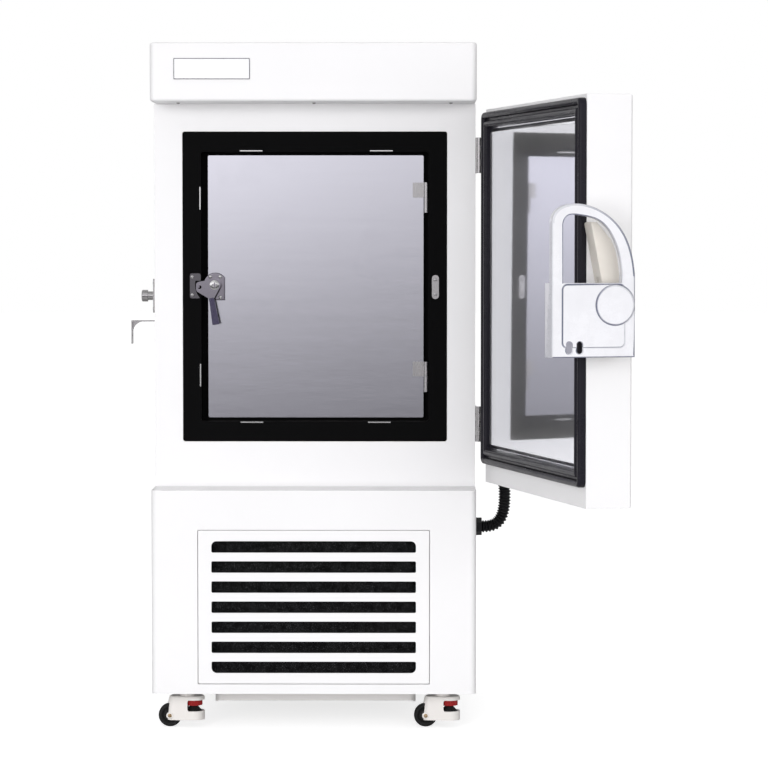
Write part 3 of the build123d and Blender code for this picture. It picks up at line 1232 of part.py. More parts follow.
def fan_motor():
    start = (0, MOTOR_FRONT_Y, FAN_Z)
    body = turned(
        ((0, 0), (MOTOR_RADIUS, 0), (MOTOR_RADIUS, MOTOR_LENGTH - MOTOR_ARM),
         (MOTOR_RADIUS - MOTOR_ARM, MOTOR_LENGTH), (0, MOTOR_LENGTH)), start, (0, 1, 0))
    shaft_y = SHROUD_BACK_Y - SHROUD_DEPTH / 2 - FAN_HUB_DEPTH / 2
    return body + rod(FAN_SHAFT_RADIUS, (0, shaft_y, FAN_Z), (0, MOTOR_FRONT_Y + MOTOR_ARM, FAN_Z))


def fan_blades():
    """Hub with pitched blades, bored for the motor's shaft."""
    middle_y = SHROUD_BACK_Y - SHROUD_DEPTH / 2
    low, high = centred(FAN_HUB_DEPTH, middle_y)
    body = rod(FAN_HUB_RADIUS, (0, low, FAN_Z), (0, high, FAN_Z))
    nose = body.faces().sort_by(Axis.Y)[0]
    body = fillet(nose.edges(), FAN_HUB_DEPTH / 4)
    reach = FAN_RADIUS - FAN_HUB_RADIUS / 2
    root = Plane(origin=(0, 0, FAN_HUB_RADIUS / 2), z_dir=(0, 0, 1))
    tip = Plane(origin=(0, 0, FAN_HUB_RADIUS / 2 + reach), z_dir=(0, 0, 1))
    inner = root * Rot(0, 0, FAN_BLADE_PITCH) * RectangleRounded(FAN_HUB_RADIUS, FAN_BLADE, FAN_BLADE / 3)
    outer = tip * Rot(0, 0, FAN_BLADE_PITCH / 2) * RectangleRounded(FAN_BLADE_CHORD, FAN_BLADE, FAN_BLADE / 3)
    blade = loft([inner, outer])
    for index in range(FAN_BLADES):
        body = body + Pos(0, middle_y, FAN_Z) * blade.rotate(Axis.Y, index * 360 / FAN_BLADES)
    return body - rod(FAN_SHAFT_RADIUS + RUNNING_FIT, (0, low - OVERRUN, FAN_Z), (0, high + OVERRUN, FAN_Z))


def base_pan():
    """Tray that hangs under the housing between the casters and carries the compressors."""
    x = centred(PAN_WIDTH)
    y = centred(PAN_LENGTH)
    z = (PAN_Z, BASE_Z)
    body = slab(x, y, z, CORNER_RADIUS) - slab(
        grown(x, -SHEET), grown(y, -SHEET), (PAN_Z + SHEET, BASE_Z + OVERRUN), CORNER_RADIUS - SHEET)
    lip_z = (BASE_Z + SHEET, BASE_Z + 2 * SHEET)
    lip = slab(grown(x, PAN_FLANGE), grown(y, PAN_FLANGE), lip_z, CORNER_RADIUS)
    collar = slab(x, y, (BASE_Z, lip_z[1]), CORNER_RADIUS)
    mouth = slab(grown(x, -SHEET), grown(y, -SHEET), (BASE_Z, lip_z[1] + OVERRUN), CORNER_RADIUS - SHEET)
    body = body + (collar + lip - mouth)
    for side in (0, 1):
        tab_x = (x[side], x[side] + (1 - 2 * side) * PAN_TAB_WIDTH)
        tab_y = (y[0] + CORNER_RADIUS, y[0] + CORNER_RADIUS + SHEET * 2)
        body = body + slab(sorted(tab_x), tab_y, (PAN_Z - PAN_TAB, PAN_Z + SHEET))
    return body


def compressor(x):
    """Hermetic shell with its welded seam, on a foot plate and four grommets."""
    foot_z = FLOOR_Z + GROMMET_HEIGHT
    low = foot_z + COMPRESSOR_FOOT_PLATE
    top = low + COMPRESSOR_HEIGHT
    seam = low + COMPRESSOR_HEIGHT * COMPRESSOR_FLAT_SHARE
    body = Pos(x, COMPRESSOR_Y, low) * Cylinder(
        COMPRESSOR_RADIUS, COMPRESSOR_HEIGHT, align=(Align.CENTER, Align.CENTER, Align.MIN))
    ends = [edge for edge in body.edges() if edge.geom_type == GeomType.CIRCLE]
    body = fillet(ends, COMPRESSOR_RADIUS * (1 - COMPRESSOR_FLAT_SHARE))
    band = rod(COMPRESSOR_RADIUS + COMPRESSOR_SEAM, (x, COMPRESSOR_Y, seam), (x, COMPRESSOR_Y, seam + COMPRESSOR_SEAM))
    reach = COMPRESSOR_FOOT + GROMMET_RADIUS
    plate = slab(centred(2 * reach, x), centred(2 * reach, COMPRESSOR_Y), (foot_z, low), GROMMET_RADIUS)
    lid = rod(TUBE_RADIUS * 2, (x, COMPRESSOR_Y, top - TUBE_RADIUS), (x, COMPRESSOR_Y, top + TUBE_RADIUS))
    body = body + band + plate + lid
    for across in (-COMPRESSOR_FOOT, COMPRESSOR_FOOT):
        for along in (-COMPRESSOR_FOOT, COMPRESSOR_FOOT):
            spot = (x + across, COMPRESSOR_Y + along)
            body = body + rod(GROMMET_RADIUS, (*spot, FLOOR_Z), (*spot, foot_z))
    return body


COMPRESSOR_TOP_Z = FLOOR_Z + GROMMET_HEIGHT + COMPRESSOR_FOOT_PLATE + COMPRESSOR_HEIGHT + TUBE_RADIUS
EXCHANGER_TOP_Z = FLOOR_Z + EXCHANGER_HEIGHT


def cascade_exchanger():
    """Insulated column in which the two refrigerant stages meet."""
    return turned(
        ((0, 0), (EXCHANGER_RADIUS, 0), (EXCHANGER_RADIUS, EXCHANGER_HEIGHT - TUBE_BEND),
         (EXCHANGER_RADIUS - TUBE_BEND, EXCHANGER_HEIGHT), (0, EXCHANGER_HEIGHT)),
        (EXCHANGER_X, EXCHANGER_Y, FLOOR_Z))


def refrigerant_tubes():
    """Discharge, link and liquid lines, with the filter drier in the liquid line."""
    lines = []
    rise = TUBE_BEND * 2
    high = EXCHANGER_TOP_Z + rise
    for side in (-1, 1):
        x = side * COMPRESSOR_X
        at = (x, COMPRESSOR_Y, COMPRESSOR_TOP_Z)
        over = (x, COMPRESSOR_Y, high)
        level = (side * TUBE_BEND, COMPRESSOR_Y, high)
        behind = (side * TUBE_BEND, EXCHANGER_Y, high)
        down = (side * TUBE_BEND, EXCHANGER_Y, EXCHANGER_TOP_Z)
        lines.append(pipe((at, over, level, behind, down), TUBE_RADIUS, TUBE_BEND - FIT * 2))
    x = CONDENSER_WIDTH / 2 - CONDENSER_END * 2 - TUBE_BEND
    spot_y = SHROUD_BACK_Y + rise * 2
    low = CONDENSER_Z[1] - DRIER_LENGTH
    drier_z = (low - DRIER_LENGTH, low)
    drier = rod(DRIER_RADIUS, (x, spot_y, drier_z[0]), (x, spot_y, drier_z[1]))
    ends = [edge for edge in drier.edges() if edge.geom_type == GeomType.CIRCLE]
    drier = fillet(ends, DRIER_RADIUS / 2)
    start = (x, CONDENSER_BACK_Y + SHROUD_SHEET, CONDENSER_Z[1] - rise)
    top = (x, spot_y, start[2])
    lines.append(pipe((start, top, (x, spot_y, drier_z[1] - FIT)), TUBE_RADIUS, TUBE_BEND) + drier)
    return lines


def control_box():
    """Electrical box on the housing's left wall."""
    x = (-HALF_WIDTH + SHEET, -HALF_WIDTH + SHEET + CONTROL_BOX_WIDTH)
    y = centred(CONTROL_BOX_LENGTH)
    z = (CONTROL_BOX_Z, CONTROL_BOX_Z + CONTROL_BOX_HEIGHT)
    outside = slab(x, y, z, CONTROL_BOX_RADIUS, Axis.X)
    inside = slab(grown(x, -SHEET), grown(y, -SHEET), grown(z, -SHEET))
    lid = slab((x[1], x[1] + SHEET), grown(y, SHEET), grown(z, SHEET), CONTROL_BOX_RADIUS, Axis.X)
    return outside - inside + lid


def rear_cover():
    """Slotted panel over the back of the machine bay."""
    y = (BACK_Y - SHEET, BACK_Y)
    panel = slab(REAR_COVER_X, y, REAR_COVER_Z, CONTROL_BOX_RADIUS, Axis.Y)
    for index in range(REAR_SLOTS):
        z = centred(REAR_SLOT_HEIGHT, REAR_SLOT_Z + index * REAR_SLOT_PITCH)
        panel = panel - slab(centred(REAR_SLOT_WIDTH), grown(y, OVERRUN * 2), z, REAR_SLOT_HEIGHT / 2 - FIT, Axis.Y)
    hole = slab(centred(INLET_WIDTH + FIT * 2, INLET_X), grown(y, OVERRUN * 2), centred(INLET_HEIGHT + FIT * 2, INLET_Z))
    return panel - hole


def power_inlet():
    """Socket for a detachable mains lead."""
    x = centred(INLET_WIDTH, INLET_X)
    z = centred(INLET_HEIGHT, INLET_Z)
    body = slab(x, (BACK_Y - INLET_DEPTH, BACK_Y + INLET_FLANGE), z)
    flange = slab(grown(x, INLET_FLANGE), (BACK_Y, BACK_Y + INLET_FLANGE), grown(z, INLET_FLANGE), INLET_FLANGE, Axis.Y)
    well = slab(grown(x, -INLET_FLANGE * 2), (BACK_Y - INLET_DEPTH + INLET_FLANGE, BACK_Y + INLET_FLANGE + OVERRUN),
                grown(z, -INLET_FLANGE * 2), INLET_FLANGE, Axis.Y)
    body = body + flange - well
    for share in (-1, 0, 1):
        at = (INLET_X + share * INLET_WIDTH / 5, BACK_Y - INLET_DEPTH + INLET_FLANGE, INLET_Z)
        body = body + rod(INLET_PIN_RADIUS, at, (at[0], BACK_Y - INLET_FLANGE, at[2]))
    return body


# Casters, drawn about their own swivel axis with the fork towards -X

CASTER_Y = BACK_Y - CASTER_SETBACK
WHEEL_AT = (-WHEEL_OFFSET, 0, WHEEL_RADIUS)
THUMBWHEEL_TOP_Z = THUMBWHEEL_Z + THUMBWHEEL_HEIGHT


def caster_wheel():
    """Tyred wheel with dished hubs."""
    half = WHEEL_WIDTH / 2
    body = turned(
        ((AXLE_RADIUS + RUNNING_FIT, -half), (HUB_RADIUS - HUB_RECESS, -half),
         (HUB_RADIUS, -half + HUB_RECESS), (HUB_RADIUS + HUB_RECESS, -half), (WHEEL_RADIUS - TYRE_ROUND, -half),
         (WHEEL_RADIUS, -half + TYRE_ROUND), (WHEEL_RADIUS, half - TYRE_ROUND), (WHEEL_RADIUS - TYRE_ROUND, half),
         (HUB_RADIUS + HUB_RECESS, half), (HUB_RADIUS, half - HUB_RECESS), (HUB_RADIUS - HUB_RECESS, half),
         (AXLE_RADIUS + RUNNING_FIT, half)),
        WHEEL_AT, (0, 1, 0))
    return body


def caster_housing(levelling):
    """Cast fork and foot housing on its swivel, with the wheel's axle."""
    z = (HOUSING_FOOT_Z, HOUSING_TOP_Z)
    tall = z[1] - z[0]
    fork_at = FORK_RADIUS - FORK_END
    outline = make_hull(
        (Pos(FOOT_OFFSET, 0) * Circle(HOUSING_RADIUS)).edges() + (Pos(fork_at, 0) * Circle(FORK_RADIUS)).edges())
    body = Pos(0, 0, z[0]) * extrude(outline, tall)
    crown = body.faces().sort_by(Axis.Z)[-1]
    body = fillet(crown.edges(), HOUSING_ROUND)
    half = WHEEL_WIDTH / 2 + FORK_GAP
    well_x = (-FORK_END - OVERRUN, -WHEEL_OFFSET + WHEEL_RADIUS + FORK_GAP)
    well = slab(well_x, (-half, half), (z[0] - OVERRUN, WHEEL_RADIUS * 2 + FORK_GAP))
    body = body - well
    axle_y = (-FORK_RADIUS, FORK_RADIUS)
    axle = rod(AXLE_RADIUS, (WHEEL_AT[0], axle_y[0], WHEEL_AT[2]), (WHEEL_AT[0], axle_y[1], WHEEL_AT[2]))
    cap = turned(((0, 0), (HUB_RADIUS / 2, 0), (HUB_RADIUS / 2 - SHEET, SHEET), (0, SHEET)),
                 (WHEEL_AT[0], axle_y[0], WHEEL_AT[2]), (0, -1, 0))
    body = body + axle + cap
    shoulder_z = BASE_Z - CASTER_PLATE - SWIVEL_GAP
    stem = rod(SWIVEL_RADIUS, (0, 0, z[1] - HOUSING_ROUND), (0, 0, shoulder_z))
    bore = rod(SWIVEL_PIN_RADIUS + RUNNING_FIT, (0, 0, z[1]), (0, 0, shoulder_z + OVERRUN))
    body = body + stem - bore
    if levelling:
        reach = FOOT_RADIUS + FOOT_WALL_GAP
        foot_well = rod(reach, (FOOT_OFFSET, 0, z[0] - OVERRUN), (FOOT_OFFSET, 0, THUMBWHEEL_TOP_Z + FIT))
        screw_top = (FOOT_OFFSET, 0, SCREW_TOP_Z + FIT)
        screw_hole = rod(SCREW_RADIUS + RUNNING_FIT, (FOOT_OFFSET, 0, THUMBWHEEL_TOP_Z), screw_top)
        window_x = (HOUSING_RADIUS / 8, HOUSING_RADIUS / 8 + WINDOW_WIDTH)
        window = slab(window_x, centred(HOUSING_RADIUS * 3), (WINDOW_FOOT_Z, THUMBWHEEL_TOP_Z + FIT))
        body = body - foot_well - window - screw_hole
    return body


def caster_thumbwheel():
    """Toothed nut that turns in the housing's window to lower the pad."""
    low = (FOOT_OFFSET, 0, THUMBWHEEL_Z)
    top = (FOOT_OFFSET, 0, THUMBWHEEL_TOP_Z)
    body = rod(THUMBWHEEL_RADIUS, low, top)
    rims = [edge for edge in body.edges() if edge.geom_type == GeomType.CIRCLE]
    body = fillet(rims, THUMBWHEEL_TOOTH / 2)
    for index in range(THUMBWHEEL_TEETH):
        angle = index * 2 * math.pi / THUMBWHEEL_TEETH
        x = FOOT_OFFSET + (THUMBWHEEL_RADIUS + THUMBWHEEL_TOOTH / 3) * math.cos(angle)
        y = (THUMBWHEEL_RADIUS + THUMBWHEEL_TOOTH / 3) * math.sin(angle)
        body = body - rod(THUMBWHEEL_TOOTH, (x, y, THUMBWHEEL_Z - OVERRUN), (x, y, THUMBWHEEL_TOP_Z + OVERRUN))
    return body - rod(SCREW_RADIUS + RUNNING_FIT, (low[0], 0, low[2] - OVERRUN), (top[0], 0, top[2] + OVERRUN))


def caster_pad():
    """Rubber foot with its screw."""
    cone = PAD_HEIGHT * PAD_CONE_SHARE
    foot = turned(
        ((0, 0), (FOOT_RADIUS - SHEET, 0), (FOOT_RADIUS, SHEET), (FOOT_RADIUS, cone),
         (SCREW_BOSS_RADIUS + PAD_ROUND, PAD_HEIGHT - PAD_ROUND), (SCREW_BOSS_RADIUS, PAD_HEIGHT), (0, PAD_HEIGHT)),
        (FOOT_OFFSET, 0, PAD_Z))
    return foot + rod(SCREW_RADIUS, (FOOT_OFFSET, 0, PAD_Z + PAD_HEIGHT / 2), (FOOT_OFFSET, 0, SCREW_TOP_Z))


def caster_plates():
    """Mounting plates under the housing, each with the pin that its caster swivels on."""
    plates = []
    for x in (-CASTER_X, CASTER_X):
        for y in (-CASTER_Y, CASTER_Y):
            plate_z = (BASE_Z - CASTER_PLATE, BASE_Z)
            plate = slab(centred(CASTER_PLATE_SIZE, x), centred(CASTER_PLATE_SIZE, y), plate_z, HOUSING_ROUND)
            foot = HOUSING_TOP_Z + FIT
            pin = rod(SWIVEL_PIN_RADIUS, (x, y, foot), (x, y, BASE_Z - CASTER_PLATE))
            plates.append(plate + pin)
    return plates


# Hose and its glands

HOSE_HIGH_SHUT = (DOOR_HINGE_SIDE_X, HOSE_HIGH_Y, HOSE_HIGH_Z)


def hose_mouth():
    """Where the hose meets the open door, and the way into it."""
    angle = math.radians(DOOR_REST_ANGLE)
    across = HOSE_HIGH_SHUT[0] - HINGE_X
    along = HOSE_HIGH_SHUT[1] - HINGE_Y
    x = HINGE_X + across * math.cos(angle) - along * math.sin(angle)
    y = HINGE_Y + across * math.sin(angle) + along * math.cos(angle)
    return Vector(x, y, HOSE_HIGH_Z), Vector(-math.cos(angle), -math.sin(angle), 0)


def hose_points():
    """Route at rest, from the lower gland to the door's gland."""
    mouth, inwards = hose_mouth()
    start = Vector(HALF_WIDTH + HOSE_GLAND_LENGTH, HOSE_LOW[1], HOSE_LOW_Z)
    end = mouth - inwards * HOSE_GLAND_LENGTH
    leaving = start + Vector(HOSE_STRAIGHT, 0, 0)
    route = [Vector(*point) for point in HOSE_ROUTE]
    return [start, leaving, *route, end - inwards * HOSE_STRAIGHT, end]


def conduit_hose():
    points = hose_points()
    radii = []
    for before, corner, after in zip(points, points[1:], points[2:]):
        turn = (corner - before).get_angle(after - corner)
        run = min((corner - before).length, (after - corner).length)
        radii.append(HOSE_BEND_SHARE * run / math.tan(math.radians(turn) / 2))
    return pipe(points, HOSE_RADIUS, radii)


def gland(centre, way):
    """Threaded gland: a flange and a six-sided nut that hold the end of the hose."""
    plane = Plane(origin=centre, z_dir=way)
    flange = plane * extrude(Circle(HOSE_FLANGE_RADIUS), HOSE_GLAND_FLANGE)
    nut = plane * extrude(RegularPolygon(HOSE_GLAND_RADIUS, GLAND_NUT_SIDES), HOSE_GLAND_LENGTH)
    return flange + nut


def hose_fitting_lower():
    return gland(HOSE_LOW, (1, 0, 0))


def hose_fitting_upper():
    return gland(HOSE_HIGH_SHUT, (1, 0, 0))


def write(name, shape):
    """Writes one sub-part, which may be a list of separate solids."""
    if isinstance(shape, list):
        shape = Compound(children=list(shape))
    shape.label = name
    export_step(shape, f"parts/{name}.step")


CABINET = (
    lower_housing, cabinet_shell, header_housing, cabinet_foam, throat_frame, inner_tank, evaporator_coil,
    shelves, shelf_supports, outer_hinges, door_strike, lock_bracket, inner_hinge_leaves,
    latch_keeper, air_filter, condenser_coil, fan_shroud, fan_motor, base_pan, cascade_exchanger,
    refrigerant_tubes, control_box, rear_cover, power_inlet, caster_plates, hose_fitting_lower, conduit_hose,
    fan_blades, grille_panel, inner_door_panel, inner_door_seal, inner_door_hinges, latch_base, latch_lever,
    latch_grip,
)
DOOR = (
    door_shell, door_foam, door_liner, door_gasket, control_panel, door_hinge_leaves, hose_fitting_upper,
    handle_base, handle_lever, handle_cover, latch_hook,
)


def main():
    os.makedirs("parts", exist_ok=True)
    for piece in CABINET:
        write(piece.__name__, piece())
    for piece in DOOR:
        shape = piece()
        solids = shape if isinstance(shape, list) else [shape]
        write(piece.__name__, [swung(solid) for solid in solids])
    write("compressor_high_stage", compressor(-COMPRESSOR_X))
    write("compressor_low_stage", compressor(COMPRESSOR_X))
    for end, y in (("front", -CASTER_Y), ("rear", CASTER_Y)):
        for side, x in (("left", -CASTER_X), ("right", CASTER_X)):
            place = Pos(x, y, 0)
            name = f"caster_{end}_{side}"
            write(f"{name}_housing", place * caster_housing(end == "front"))
            write(f"{name}_wheel", place * caster_wheel())
            if end == "front":
                write(f"{name}_thumbwheel", place * caster_thumbwheel())
                write(f"{name}_pad", place * caster_pad())


main()
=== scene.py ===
import json
import math

import bpy
from mathutils import Matrix, Vector

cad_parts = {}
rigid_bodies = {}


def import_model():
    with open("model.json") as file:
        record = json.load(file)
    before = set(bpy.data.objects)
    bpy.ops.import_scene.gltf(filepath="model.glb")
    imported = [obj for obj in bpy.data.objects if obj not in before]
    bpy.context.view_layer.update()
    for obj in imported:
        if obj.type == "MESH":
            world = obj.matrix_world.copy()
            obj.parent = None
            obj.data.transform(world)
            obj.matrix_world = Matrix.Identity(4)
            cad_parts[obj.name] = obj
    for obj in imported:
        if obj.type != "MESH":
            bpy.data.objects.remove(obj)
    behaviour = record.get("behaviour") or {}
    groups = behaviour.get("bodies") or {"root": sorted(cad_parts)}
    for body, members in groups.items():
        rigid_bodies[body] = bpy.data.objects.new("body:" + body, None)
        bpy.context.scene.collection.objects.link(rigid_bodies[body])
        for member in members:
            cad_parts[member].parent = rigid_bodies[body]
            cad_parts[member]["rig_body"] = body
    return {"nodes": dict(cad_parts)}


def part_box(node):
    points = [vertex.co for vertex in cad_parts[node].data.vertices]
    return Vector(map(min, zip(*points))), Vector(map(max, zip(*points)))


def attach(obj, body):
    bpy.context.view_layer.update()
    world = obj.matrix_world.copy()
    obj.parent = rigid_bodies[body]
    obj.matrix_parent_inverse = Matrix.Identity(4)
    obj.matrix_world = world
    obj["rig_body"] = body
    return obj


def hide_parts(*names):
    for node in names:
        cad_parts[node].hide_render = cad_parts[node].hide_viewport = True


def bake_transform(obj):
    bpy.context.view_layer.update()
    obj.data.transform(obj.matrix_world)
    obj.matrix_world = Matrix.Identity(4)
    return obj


bl_info = {
    "name": "Ultra low temperature freezer",
    "version": (1, 0, 0),
    "blender": (4, 5, 0),
    "location": "3D View > Sidebar > Freezer",
    "description": "Dresses the freezer's frame in its finishes and small fittings",
    "category": "Add Mesh",
}

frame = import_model()

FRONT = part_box("header_housing")[0].y
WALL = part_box("cabinet_shell")[0].y
HEADER_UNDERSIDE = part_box("header_housing")[0].z
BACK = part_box("rear_cover")[1].y
# The open door: X out of its outer face, Y from its free edge to its hinges, Z up
DOOR = Matrix.Translation((0.5338, -0.8982, 0.0)) @ Matrix.Rotation(math.radians(14.8), 4, "Z")
DOOR_OUT = DOOR.to_3x3() @ Vector((1, 0, 0))
HANDLE_OUT = DOOR.to_3x3() @ Vector((0, -1, 0))
HOSE_ROUTE = (
    (0.356, -0.178, 0.417), (0.375, -0.178, 0.417), (0.394, -0.177, 0.428), (0.404, -0.175, 0.452),
    (0.406, -0.172, 0.490), (0.403, -0.168, 0.520), (0.396, -0.166, 0.544), (0.3925, -0.181, 0.567),
    (0.3976, -0.2026, 0.576), (0.4024, -0.2210, 0.576),
)

# Places of the small fittings, in metres
BADGE_CORNER = (-0.290, 1.364)
HEADER_SCREWS, HEADER_SCREW_ROW = (-0.285, 0.0, 0.287), -0.290
CLIPS_ACROSS = ((-0.1345, 1.2195), (0.141, 1.2195), (-0.134, 0.6445), (0.1365, 0.6445))
CLIPS_UPRIGHT, CLIP_COLUMN = (1.1195, 0.7445), -0.243
CATCH_AT, CATCH_THICKNESS = (0.2555, 0.9315), 0.0022
LATCH_PIVOT = (-0.2124, 0.9360)
PIVOT_CAP_HEIGHT, PIVOT_CAP_SUNK = 0.0032, 0.0027
LATCH_PLATE, LATCH_SCREW_ASIDE, LATCH_SCREW_RISES = 0.0045, 0.0105, (-0.0265, 0.0170)
KEEPER_PLATE, KEEPER_SCREW_COLUMN, KEEPER_SCREWS = 0.0030, -0.2596, (0.9150, 0.9530)
COVER_STEP, GROOVE_DEPTHS = 0.0025, (0.0007, 0.0009)
PANEL_FACE = 0.0933
DISPLAY_LOW, DISPLAY_HIGH = (0.2325, 1.1915), (0.3275, 1.2365)
KEY_COLUMNS, KEY_ROWS, KEY_HALF = (0.3570, 0.3940, 0.4310), (1.2255, 1.2015), (0.0125, 0.0075)
REAR_SCREW_COLUMNS, REAR_SCREW_ROWS = (-0.306, -0.102, 0.102, 0.306), (0.1145, 0.474)
AXLE_HEAD_OUT, AXLE_HEAD_HEIGHT = 0.0168, 0.0024
HOUSING_BACK, HOUSING_BACK_RUN = 0.013, 0.020
HOUSING_SLOPE, HOUSING_SLOPE_FOOT = 0.24, 0.0100
WINDOW_LEFT, WINDOW_RIGHT, WINDOW_HALF_DEPTH = 0.0376, 0.110, 0.040
WINDOW_LOW, WINDOW_HIGH, WINDOW_ROUND = 0.0340, 0.0573, 0.0045


# Sizes and colours that a user would change

def length(label, text, default):
    return bpy.props.FloatProperty(
        name=label, description=text, default=default, min=0.0, soft_max=default * 4, precision=5,
        unit="LENGTH", subtype="DISTANCE")


def colour(label, text, default):
    return bpy.props.FloatVectorProperty(
        name=label, description=text, default=default, size=3, min=0.0, max=1.0, subtype="COLOR")


def share(label, text, default):
    return bpy.props.FloatProperty(
        name=label, description=text, default=default, min=0.0, max=1.0, subtype="FACTOR")


class FreezerSizes(bpy.types.PropertyGroup):
    sheet_edge: length("Sheet edge", "Width of the eased edges on sheet metal", 0.0007)
    casting_edge: length("Casting edge", "Width of the eased edges on cast and machined pieces", 0.0006)
    badge_width: length("Badge width", "Width of the bare plate on the header", 0.159)
    badge_height: length("Badge height", "Height of the bare plate on the header", 0.044)
    badge_thickness: length("Badge thickness", "How far the bare plate stands proud", 0.0014)
    # Painted shade: the grey border stands in for the shade along the bare plate's edge
    badge_border: length("Badge border", "Width of the grey border round the bare plate", 0.0015)
    clip_length: length("Clip length", "Length of the frame's retaining clips", 0.048)
    clip_width: length("Clip width", "Width of the frame's retaining clips", 0.0026)
    screw_radius: length("Screw radius", "Radius of the small cross-headed screws", 0.0036)
    catch_width: length("Catch plate width", "Width of the slim plate on the frame's right border", 0.015)
    catch_height: length("Catch plate height", "Height of the slim plate on the frame's right border", 0.051)
    pivot_radius: length("Pivot cap", "Radius of the cap over the latch lever's pivot", 0.0105)
    axle_head: length("Axle head", "Radius of the brass heads on the caster axles", 0.0042)
    hose_radius: length("Hose radius", "Outside radius of the corrugated hose", 0.0135)
    hose_pitch: length("Hose pitch", "Distance between the hose's ribs", 0.0064)
    hose_groove: length("Hose groove", "Depth of the grooves between the hose's ribs", 0.0032)


class FreezerFinishes(bpy.types.PropertyGroup):
    cabinet: colour("Cabinet", "Powder coat of the cabinet and the outer door", (0.84, 0.835, 0.84))
    moulding: colour("Throat frame", "Black moulding round the chamber", (0.0030, 0.0030, 0.0032))
    gasket: colour("Gasket", "Door gasket", (0.012, 0.011, 0.016))
    stainless: colour("Stainless", "Inner door, chamber and door liner", (0.58, 0.58, 0.63))
    lever: colour("Door lever", "Moulded lever of the outer door", (0.76, 0.76, 0.79))
    # Painted shade: this slate tint on the lever's flanks, rim and recess stands in for the shade on them
    flank: colour("Lever flanks", "Darker flanks of the lever", (0.16, 0.17, 0.23))
    pedestal: colour("Pedestal", "Moulded pedestal under the lever", (0.72, 0.68, 0.62))
    plated: colour("Plated steel", "Hinges, strike and brackets", (0.52, 0.51, 0.51))
    # Painted reflection: this chrome tint is darkened to stand for the dark room that the latch reflects
    latch: colour("Latch", "Chrome of the inner latch", (0.27, 0.255, 0.29))
    grip: colour("Latch grip", "Moulded grip of the inner latch", (0.040, 0.034, 0.070))
    caster: colour("Caster", "Enamel of the caster housings", (0.82, 0.79, 0.76))
    thumbwheel: colour("Thumbwheel", "Levelling thumbwheels of the front casters", (0.30, 0.008, 0.008))
    dust: share("Dust", "How much dust lies on level surfaces", 0.06)
    handling: share("Handling", "How much the surfaces show handling", 0.25)


# Shader node groups: one for each effect that several finishes share

def new_group(name, inputs, outputs):
    tree = bpy.data.node_groups.new(name, "ShaderNodeTree")
    for label, kind, default in inputs:
        socket = tree.interface.new_socket(label, in_out="INPUT", socket_type=kind)
        if default is not None:
            socket.default_value = default
    for label, kind in outputs:
        tree.interface.new_socket(label, in_out="OUTPUT", socket_type=kind)
    return tree, tree.nodes.new("NodeGroupInput"), tree.nodes.new("NodeGroupOutput")


def node(tree, kind, settings=(), **inputs):
    """Adds a node, sets its properties, and fills its sockets with values or links."""
    made = tree.nodes.new(kind)
    for key, value in dict(settings).items():
        setattr(made, key, value)
    for key, value in inputs.items():
        socket = made.inputs[int(key[1:])] if key[1:].isdigit() else made.inputs[key.replace("_", " ")]
        if isinstance(value, bpy.types.NodeSocket):
            tree.links.new(value, socket)
        else:
            socket.default_value = value
    return made


def scaled(tree, place, scale):
    return node(tree, "ShaderNodeMapping", Vector=place, Scale=scale).outputs[0]


def noise(tree, place, scale, detail=2.0, rough=0.5):
    made = node(tree, "ShaderNodeTexNoise", Vector=place, Scale=scale, Detail=detail, Roughness=rough)
    return made.outputs[0]


def result(tree, first, second, operation="ADD", clamp=False):
    settings = {"operation": operation, "use_clamp": clamp}
    return node(tree, "ShaderNodeMath", settings, i0=first, i1=second).outputs[0]


def between(tree, value, low, high, to_low=0.0, to_high=1.0):
    return node(tree, "ShaderNodeMapRange", Value=value, i1=low, i2=high, i3=to_low, i4=to_high).outputs[0]


def tinted(tree, amount, first, second, blend="MIX"):
    made = node(tree, "ShaderNodeMix", {"data_type": "RGBA", "blend_type": blend})
    for socket, value in ((0, amount), (6, first), (7, second)):
        if isinstance(value, bpy.types.NodeSocket):
            tree.links.new(value, made.inputs[socket])
        else:
            made.inputs[socket].default_value = value
    return made.outputs[2]


def shaded(tree, tint, shade):
    """A colour made lighter or darker by a value."""
    grey = node(tree, "ShaderNodeCombineColor", Red=shade, Green=shade, Blue=shade).outputs[0]
    return tinted(tree, 1.0, tint, grey, "MULTIPLY")


SKIN_INPUTS = [
    ("Place", "NodeSocketVector", None),
    ("Colour", "NodeSocketColor", (0.8, 0.8, 0.8, 1.0)),
    ("Roughness", "NodeSocketFloat", 0.4),
    ("Grain size", "NodeSocketFloat", 1.0),
    ("Depth", "NodeSocketFloat", 1.0),
]
SKIN_OUTPUTS = [("Colour", "NodeSocketColor"), ("Roughness", "NodeSocketFloat"), ("Height", "NodeSocketFloat")]


def powder_coat():
    """Orange peel with faint clouds in the tint."""
    tree, given, out = new_group("Powder coat", SKIN_INPUTS, SKIN_OUTPUTS)
    size = node(tree, "ShaderNodeVectorMath", {"operation": "SCALE"}, i0=given.outputs["Place"])
    tree.links.new(given.outputs["Grain size"], size.inputs["Scale"])
    peel = noise(tree, size.outputs[0], 420.0, 3.0, 0.45)
    fine = noise(tree, size.outputs[0], 1500.0, 2.0)
    clouds = noise(tree, given.outputs["Place"], 2.3, 4.0, 0.6)
    shade = between(tree, clouds, 0.3, 0.7, 0.975, 1.0)
    tree.links.new(shaded(tree, given.outputs["Colour"], shade), out.inputs["Colour"])
    rough = result(tree, between(tree, peel, 0.35, 0.65, -0.035, 0.035), given.outputs["Roughness"])
    tree.links.new(result(tree, rough, between(tree, clouds, 0.3, 0.7, -0.03, 0.04), clamp=True),
                   out.inputs["Roughness"])
    height = result(tree, peel, result(tree, fine, 0.25, "MULTIPLY"))
    tree.links.new(result(tree, height, given.outputs["Depth"], "MULTIPLY"), out.inputs["Height"])
    return tree


